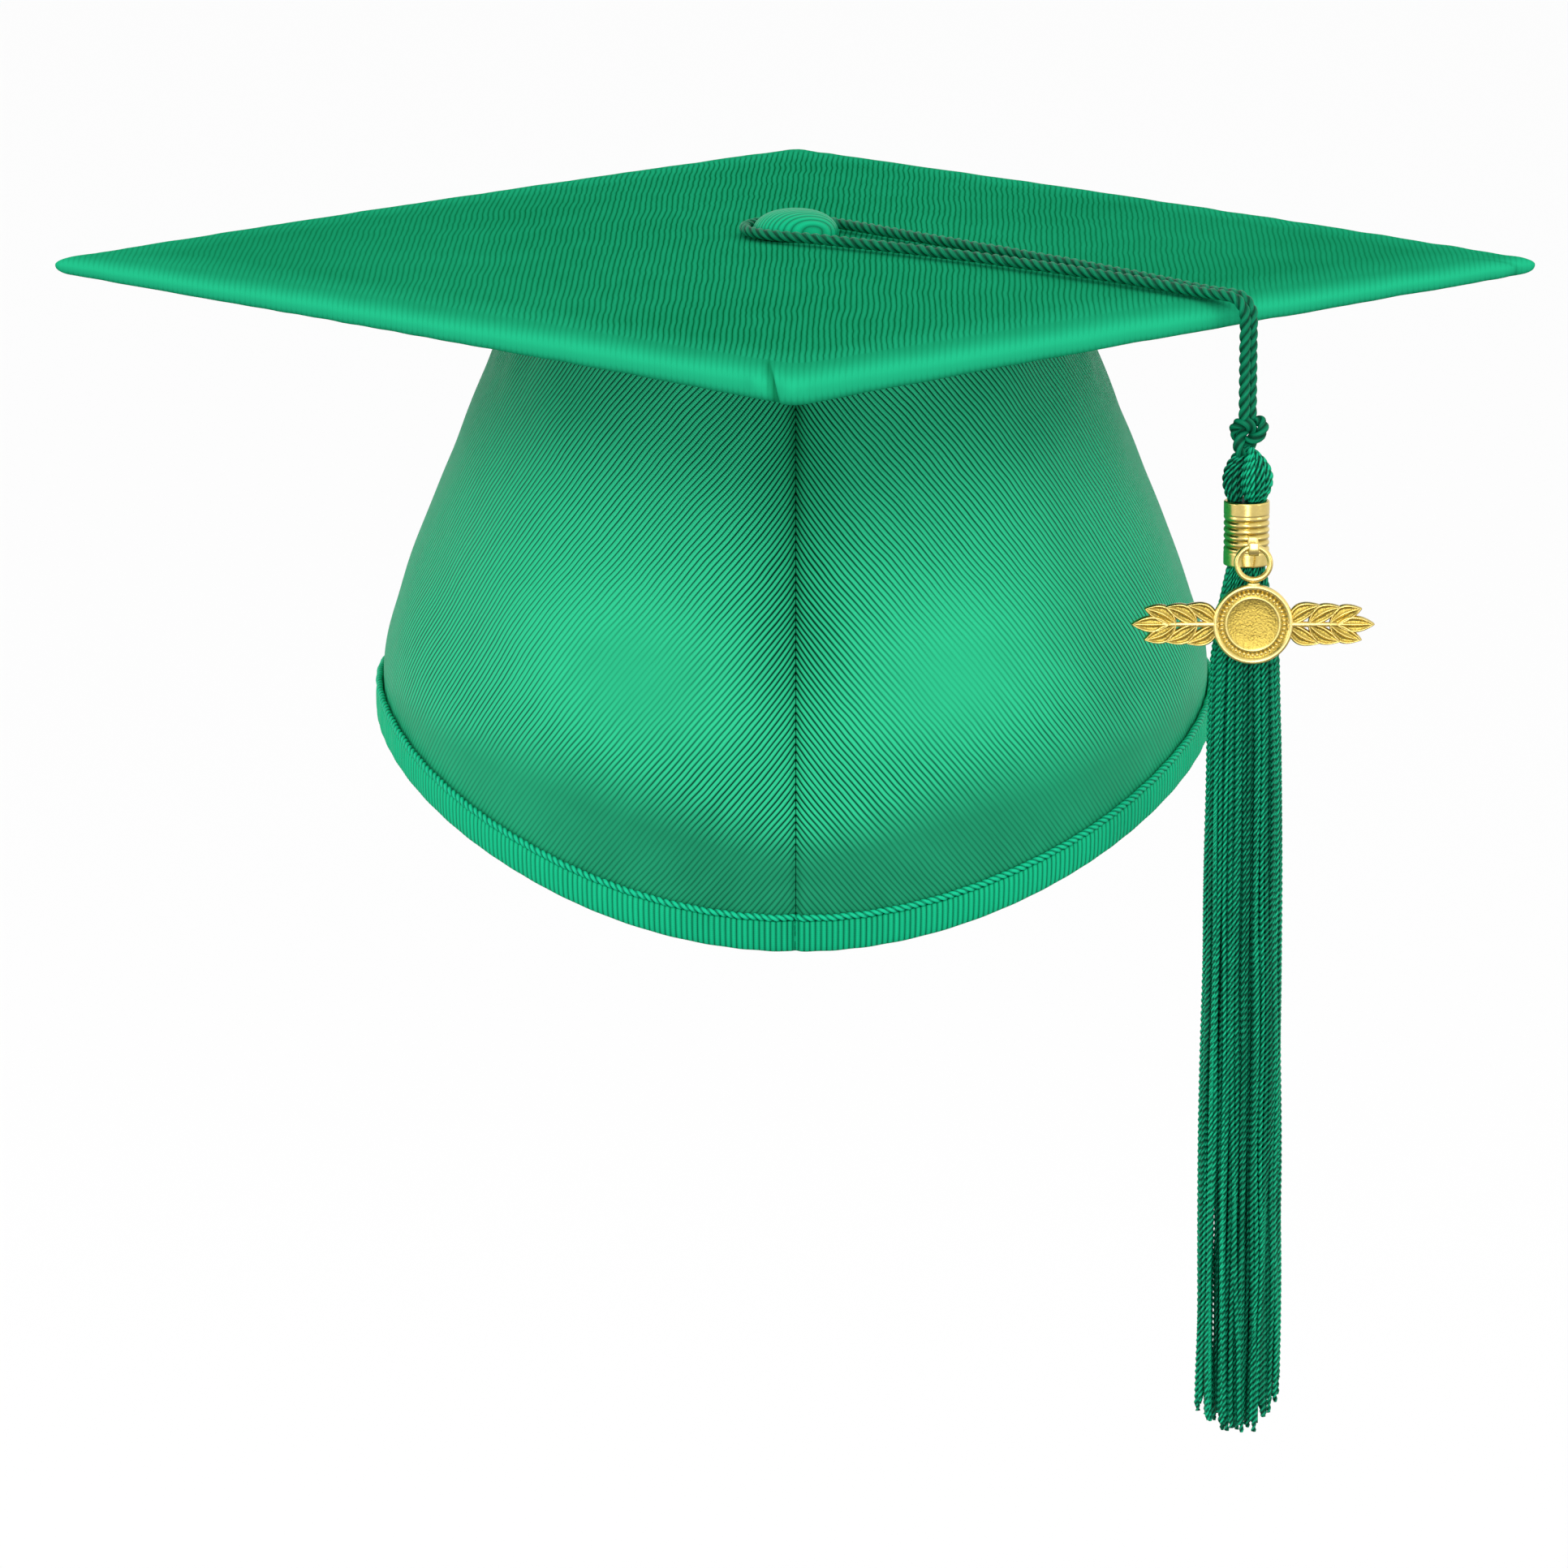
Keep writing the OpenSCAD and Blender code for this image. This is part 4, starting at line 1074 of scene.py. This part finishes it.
def add_hook():
    """The tab folded out of the ferrule's foot, through the ring and back up in front of it."""
    x = (HOOK_LOW.x + HOOK_HIGH.x) / 2
    low = HOOK_LOW.z + 0.35 * MM
    back = TASSEL_Y - (FERRULE_HIGH.x - FERRULE_LOW.x) / 2
    front = HOOK_LOW.y + 0.35 * MM
    path = smooth_path([
        [x, back - 0.1 * MM, low + 3.4 * MM], [x, back - 0.35 * MM, low + 1.8 * MM],
        [x, back - 0.8 * MM, low + 0.6 * MM], [x, back - 1.9 * MM, low + 0.3 * MM],
        [x, front + 1.0 * MM, low + 0.3 * MM], [x, front + 0.25 * MM, low + 0.7 * MM],
        [x, front, low + 1.6 * MM], [x, front + 0.1 * MM, HOOK_HIGH.z],
    ], 0.15 * MM)
    bar = swept_strip(path, (1, 0, 0), 2.3 * MM, 0.5 * MM)
    hook = Grids().add(bar, wrap_cols=True, caps=True, shade=0.85)
    return place(hook.object("ferrule_tab", GOLD), "tassel", "ferrule_gold", "ferrule_hook")


add_head()
add_ferrule()
add_hook()

# Half width and half depth of the skirt by height above its foot, as a share of its length
SKIRT_SHAPE = np.array([
    [0, 9.4, 7.0], [0.03, 9.9, 7.2], [0.2, 9.8, 7.2], [0.45, 9.4, 7.1], [0.65, 9.0, 7.0],
    [0.8, 8.6, 6.8], [0.89, 8.0, 6.4], [0.95, 6.6, 5.7], [0.985, 5.2, 5.0], [1, 4.5, 4.5],
])
SKIRT_L = SKIRT_HIGH.z - SKIRT_LOW.z


def add_skirt():
    """Twisted yarns hanging free from the ferrule: an outer ring, one behind it and a loose middle."""
    rng = np.random.default_rng(47)
    layers = (  # name, yarns, share of the skirt's section, step, sides, first and last angle
        ("front", 23, 1.0, 0.40 * MM, 8, np.pi, 2 * np.pi),
        ("back", 21, 1.0, 0.40 * MM, 8, 0.0, np.pi),
        ("second", 30, 0.80, 0.55 * MM, 7, 0.0, 2 * np.pi),
        ("third", 24, 0.58, 0.7 * MM, 6, 0.0, 2 * np.pi),
        ("middle", 14, 0.32, 0.9 * MM, 6, 0.0, 2 * np.pi),
    )
    for name, count, share, step, sides, begin, end in layers:
        grids = Grids()
        for i in range(count):
            a = begin + (end - begin) * (i + 0.5 + rng.uniform(-0.22, 0.22)) / count
            across = 9.4 * np.cos(a) * share
            short = 1.5 + 0.10 * across ** 2 * 0.6 + rng.uniform(-1.5, 4.5) + 0.16 * across
            length = SKIRT_L - MM * max(0.0, short)
            n = int(length / step)
            down = np.linspace(0, length, n)
            up = 1 - down / SKIRT_L
            wide = np.interp(up, SKIRT_SHAPE[:, 0], SKIRT_SHAPE[:, 1]) * MM - YARN_D / 2
            deep = np.interp(up, SKIRT_SHAPE[:, 0], SKIRT_SHAPE[:, 2]) * MM - YARN_D / 2
            loose = np.clip(down / SKIRT_L, 0, 1)
            turn = a + np.radians(1.5 * np.sin(down / (28 * MM) + rng.uniform(0, 6)))
            turn = turn + rng.normal(0, 0.02) * loose * 4
            if share == 1.0 and rng.uniform() < 0.13:
                turn = turn + rng.choice([-1, 1]) * 0.3 * np.clip((loose - 0.55) / 0.35, 0, 1) ** 1.5
            keep = share * (1 - 0.04 * rng.uniform(0, 1) - 0.03 * loose * rng.uniform(0, 1))
            wobble = 0.16 * MM * (0.4 + 1.6 * loose)
            dx = wobble * np.sin(down / (rng.uniform(9, 17) * MM) + rng.uniform(0, 6))
            dy = wobble * np.sin(down / (rng.uniform(9, 17) * MM) + rng.uniform(0, 6))
            path = MID_X + np.stack([wide * keep * np.cos(turn) + dx, deep * keep * np.sin(turn) + 0.6 * dy,
                                     SKIRT_HIGH.z + 0.3 * MM - down], -1)
            size = np.interp(down, [0, 4 * MM, 20 * MM, length - 1.2 * MM, length],
                             [0.55, 0.68, 1, 1, 1.12])
            frames = (np.tile([1.0, 0, 0], (n, 1)), np.tile([0, -1.0, 0], (n, 1)))
            # Painted shade: the inner layers of yarn are darker
            add_rope(grids, path, YARN_D / 2 * rng.uniform(0.92, 1.06), 2, 2.9 * MM, sides,
                     start=rng.uniform(0, 6), scale=size, shade=rng.uniform(0.3, 0.7) * (0.6 + 0.4 * share),
                     frames=frames, depth=0.75)
        obj = grids.object("skirt_" + name, TASSEL_YARN)
        place(obj, "tassel", "tassel_yarn", "tassel_skirt")


add_skirt()

# ---- Charm ----

CHARM_T = CHARM_HIGH.y - CHARM_LOW.y
CHARM_X = (CHARM_LOW.x + CHARM_HIGH.x) / 2
RING_R = (RING_HIGH.x - RING_LOW.x) / 2
RING_WIRE = RING_HIGH.y - RING_LOW.y
TAB_RISE = 0.3 * MM
MEDAL_R = (CHARM_HIGH.z - TAB_RISE - CHARM_LOW.z) / 2
CHARM_Z = CHARM_LOW.z + MEDAL_R
LEAF_L = 8.6 * MM
LEAF_W = 4.0 * MM
RIM_H = 0.5 * MM


def on_charm(x, z, front):
    """A point on the charm by place across and up its face and height in front of its back."""
    return points_of(CHARM_X + x, CHARM_HIGH.y - front, CHARM_Z + z)


def add_leaf(grids, x, angle, length, width, side, lift):
    """A cast leaf: raised rim and midrib round a stippled hollow, slightly curled."""
    ends = np.linspace(0.004, 0.06, 5), np.linspace(0.94, 0.996, 5)
    u = np.concatenate([ends[0], np.linspace(0.09, 0.91, 30), ends[1]])
    half = width / 2 * (np.sin(np.pi * u ** 0.9)) ** 0.8
    t = np.array([-1, -0.97, -0.9, -0.8, -0.7, -0.62, -0.5, -0.3, -0.16, -0.08, 0,
                  0.08, 0.16, 0.3, 0.5, 0.62, 0.7, 0.8, 0.9, 0.97, 1])
    edge = half[:, None] * (1 - np.abs(t))[None, :]
    rim = np.clip(1 - np.abs(edge - 0.35 * MM) / (0.4 * MM), 0, 1) ** 0.7
    rib = np.exp(-(t[None, :] * half[:, None] / (0.28 * MM)) ** 2) * 0.85
    rib = rib * (np.sin(np.pi * u) ** 0.3)[:, None]
    raised = np.maximum(rim, rib)
    low = CHARM_T - RIM_H - 0.25 * MM
    height = lift + low + (RIM_H + 0.1 * MM) * raised - 0.35 * MM * (np.abs(t) ** 8)[None, :]
    curl = 0.10 * length * np.sin(np.pi * u) * side
    c, s = math.cos(angle), math.sin(angle)
    px = (u * length)[:, None] + 0 * t
    pz = curl[:, None] + half[:, None] * t
    front = on_charm(x + px * c - pz * s, px * s + pz * c, height)
    back = on_charm(x + px * c - pz * s, px * s + pz * c, 0.3 * MM + 0 * height)[:, ::-1]
    # Painted shade: darker gold in the leaf's hollow, lighter on its rim and midrib
    shade = np.concatenate([0.3 + 0.6 * raised, np.full_like(raised, 0.6)], 1)
    grids.add(np.concatenate([front, back], 1), wrap_cols=True, caps=True, shade=shade)


def add_spray(grids, turn):
    """Stem and leaves of one side of the charm, as seen from the front, growing outward."""
    reach = (CHARM_HIGH.x - CHARM_LOW.x) / 2
    outward = 0 if turn > 0 else math.pi
    for i, x in enumerate([MEDAL_R - 1.5 * MM, MEDAL_R + 3.2 * MM, MEDAL_R + 7.9 * MM]):
        for side in (-1, 1):
            add_leaf(grids, turn * x, outward + side * math.radians(30 - 2 * i),
                     LEAF_L * (1 - 0.03 * i), LEAF_W, side * 0.9, 0.0)
    add_leaf(grids, turn * (reach - LEAF_L), outward, LEAF_L, LEAF_W * 0.95, 0.0, 0.05 * MM)
    along = np.linspace(MEDAL_R - 1 * MM, reach - LEAF_L + 2 * MM, 30) * turn
    line = on_charm(along, 0 * along, CHARM_T - 0.8 * MM + 0 * along)
    sides = (np.tile([0.0, 1.0, 0.0], (30, 1)), np.tile([0.0, 0.0, 1.0], (30, 1)))
    add_rope(grids, line, 0.75 * MM, 1, 1.0, 16, frames=sides, depth=0.0, shade=0.9,
             scale=np.linspace(1.0, 0.6, 30))


def add_charm():
    """Blank medallion with a raised rim and a ring of beads, between two leaf sprays."""
    grids = Grids()
    r = MEDAL_R
    face = CHARM_T - RIM_H
    profile = np.array([
        [0.02, 0.15], [r / MM - 0.5, 0.15], [r / MM - 0.1, 0.35], [r / MM, 0.7], [r / MM, 1.3],
        [r / MM - 0.12, 1.75], [r / MM - 0.4, 1.98], [r / MM - 0.75, 1.98], [r / MM - 1.05, 1.8],
        [r / MM - 1.25, 1.5], [r / MM - 1.5, 1.32], [r / MM - 2.6, 1.3], [r / MM - 2.8, 1.42],
        [r / MM - 2.95, 1.52], [r / MM - 3.15, 1.52], [r / MM - 3.35, 1.36], [r / MM - 3.6, 1.3],
        [3.0, 1.3], [0.2, 1.3], [0.02, 1.3],
    ]) * MM
    # Painted shade: darker gold in the recessed field and the hollows beside the rim
    shade = np.array([0.6, 0.6, 0.7, 0.8, 0.9, 1, 1, 1, 0.9, 0.5,
                      0.3, 0.3, 0.6, 0.95, 0.95, 0.6, 0.3, 0.3, 0.3, 0.3])
    a = circle(160)[:, None]
    disc = on_charm(profile[:, 0][None, :] * np.cos(a), profile[:, 0][None, :] * np.sin(a),
                    profile[:, 1][None, :] + 0 * a)
    grids.add(disc, wrap_rows=True, wrap_cols=True, shade=shade[None, :])
    beads, bead_row = 44, r - 2.05 * MM
    for i in range(beads):
        b = 2 * np.pi * i / beads
        middle = on_charm(bead_row * math.cos(b), bead_row * math.sin(b), face - 0.15 * MM)
        add_ball(grids, middle, 0.42 * MM, 1.0)
    for turn in (1, -1):
        add_spray(grids, turn)
    tab_z = np.linspace(r - 1.2 * MM, CHARM_HIGH.z - CHARM_Z - 0.05 * MM, 6)
    tab = on_charm(0 * tab_z, tab_z, CHARM_T / 2 + 0 * tab_z)
    bar = swept_strip(tab, (1, 0, 0), 2.8 * MM, CHARM_T * 0.8)
    grids.add(bar, wrap_cols=True, caps=True, shade=0.9)
    return place(grids.object("charm", CHARM_GOLD), "charm", "charm_gold", "charm_plate")


def add_ball(grids, centre, radius, shade):
    up = np.radians(np.linspace(-88, 88, 7))[:, None]
    a = circle(12)[None, :]
    points = points_of(np.cos(up) * np.cos(a), np.sin(up) + 0 * a, np.cos(up) * np.sin(a))
    grids.add(centre + radius * points, wrap_cols=True, caps=True, shade=shade)


def add_ring():
    middle = np.array([(RING_LOW.x + RING_HIGH.x) / 2, (RING_LOW.y + RING_HIGH.y) / 2,
                       (RING_LOW.z + RING_HIGH.z) / 2])
    a = circle(96)[:, None]
    b = circle(20)[None, :]
    r = RING_R - RING_WIRE / 2 + RING_WIRE / 2 * np.cos(b)
    points = points_of(r * np.cos(a), RING_WIRE / 2 * np.sin(b) + 0 * a, r * np.sin(a))
    ring = Grids().add(middle + points, wrap_rows=True, wrap_cols=True, shade=0.9)
    return place(ring.object("ring", CHARM_GOLD), "charm", "charm_gold", "charm_ring")


add_charm()
add_ring()

# ---- CAD pieces kept as they are, inside the cap and the tassel ----

KEPT = {
    "board_core": CORE, "button_shell": STEEL, "button_back": STEEL, "button_shank": STEEL,
    "button_washer": STEEL, "flange_stitches": THREAD, "tassel_core": TASSEL_YARN, "tassel_binding": THREAD,
}
for name, material in KEPT.items():
    node = bpy.data.objects[name]
    node.data.materials.clear()
    node.data.materials.append(material)

# ---- Floor and light ----


def add_floor():
    """A plain white floor far below."""
    n = Nodes("floor")
    n.set(Base_Color=(0.92, 0.92, 0.92, 1), Roughness=0.9, Specular_IOR_Level=0.0)
    reach, z = 80.0, -1.1
    a = circle(96)
    rim = np.stack([reach * np.cos(a), reach * np.sin(a), np.full_like(a, z)], -1)
    floor = Grids().add(np.stack([rim, 0.001 * rim + [0, 0, 0.999 * z]]), wrap_cols=True)
    floor = floor.object("floor", n.material)
    floor.visible_diffuse = False
    floor.visible_glossy = False
    floor.visible_shadow = False


def add_light(name, spot, size, power, target=(0, 0, 0.03)):
    data = bpy.data.lights.new(name, "AREA")
    data.shape = "DISK"
    data.size = size
    data.energy = power
    light = bpy.data.objects.new(name, data)
    bpy.context.collection.objects.link(light)
    light.location = spot
    light.rotation_euler = (Vector(spot) - Vector(target)).to_track_quat("Z", "Y").to_euler()
    light.visible_camera = False


def add_world():
    """Bright room light, dimmer from below."""
    world = bpy.data.worlds.new("studio")
    bpy.context.scene.world = world
    world.use_nodes = True
    tree = world.node_tree
    background = tree.nodes["Background"].inputs
    background["Color"].default_value = (1, 1, 1, 1)
    parts = tree.nodes.new("ShaderNodeSeparateXYZ")
    tree.links.new(tree.nodes.new("ShaderNodeTexCoord").outputs["Generated"], parts.inputs[0])
    level = tree.nodes.new("ShaderNodeMapRange")
    for name, value in (("From Min", -0.6), ("From Max", 0.0), ("To Min", 0.35), ("To Max", 1.06)):
        level.inputs[name].default_value = value
    tree.links.new(parts.outputs[2], level.inputs["Value"])
    tree.links.new(level.outputs[0], background["Strength"])


bpy.context.scene.view_settings.view_transform = "Standard"
add_floor()
add_world()
add_light("front", (-0.1, -2.2, 1.3), 0.8, 14)
add_light("front_low", (0.2, -2.6, 0.0), 0.9, 11)
add_light("left", (-2.4, -1.2, 0.3), 0.8, 4)
add_light("right", (2.4, -1.2, 0.3), 0.8, 4)
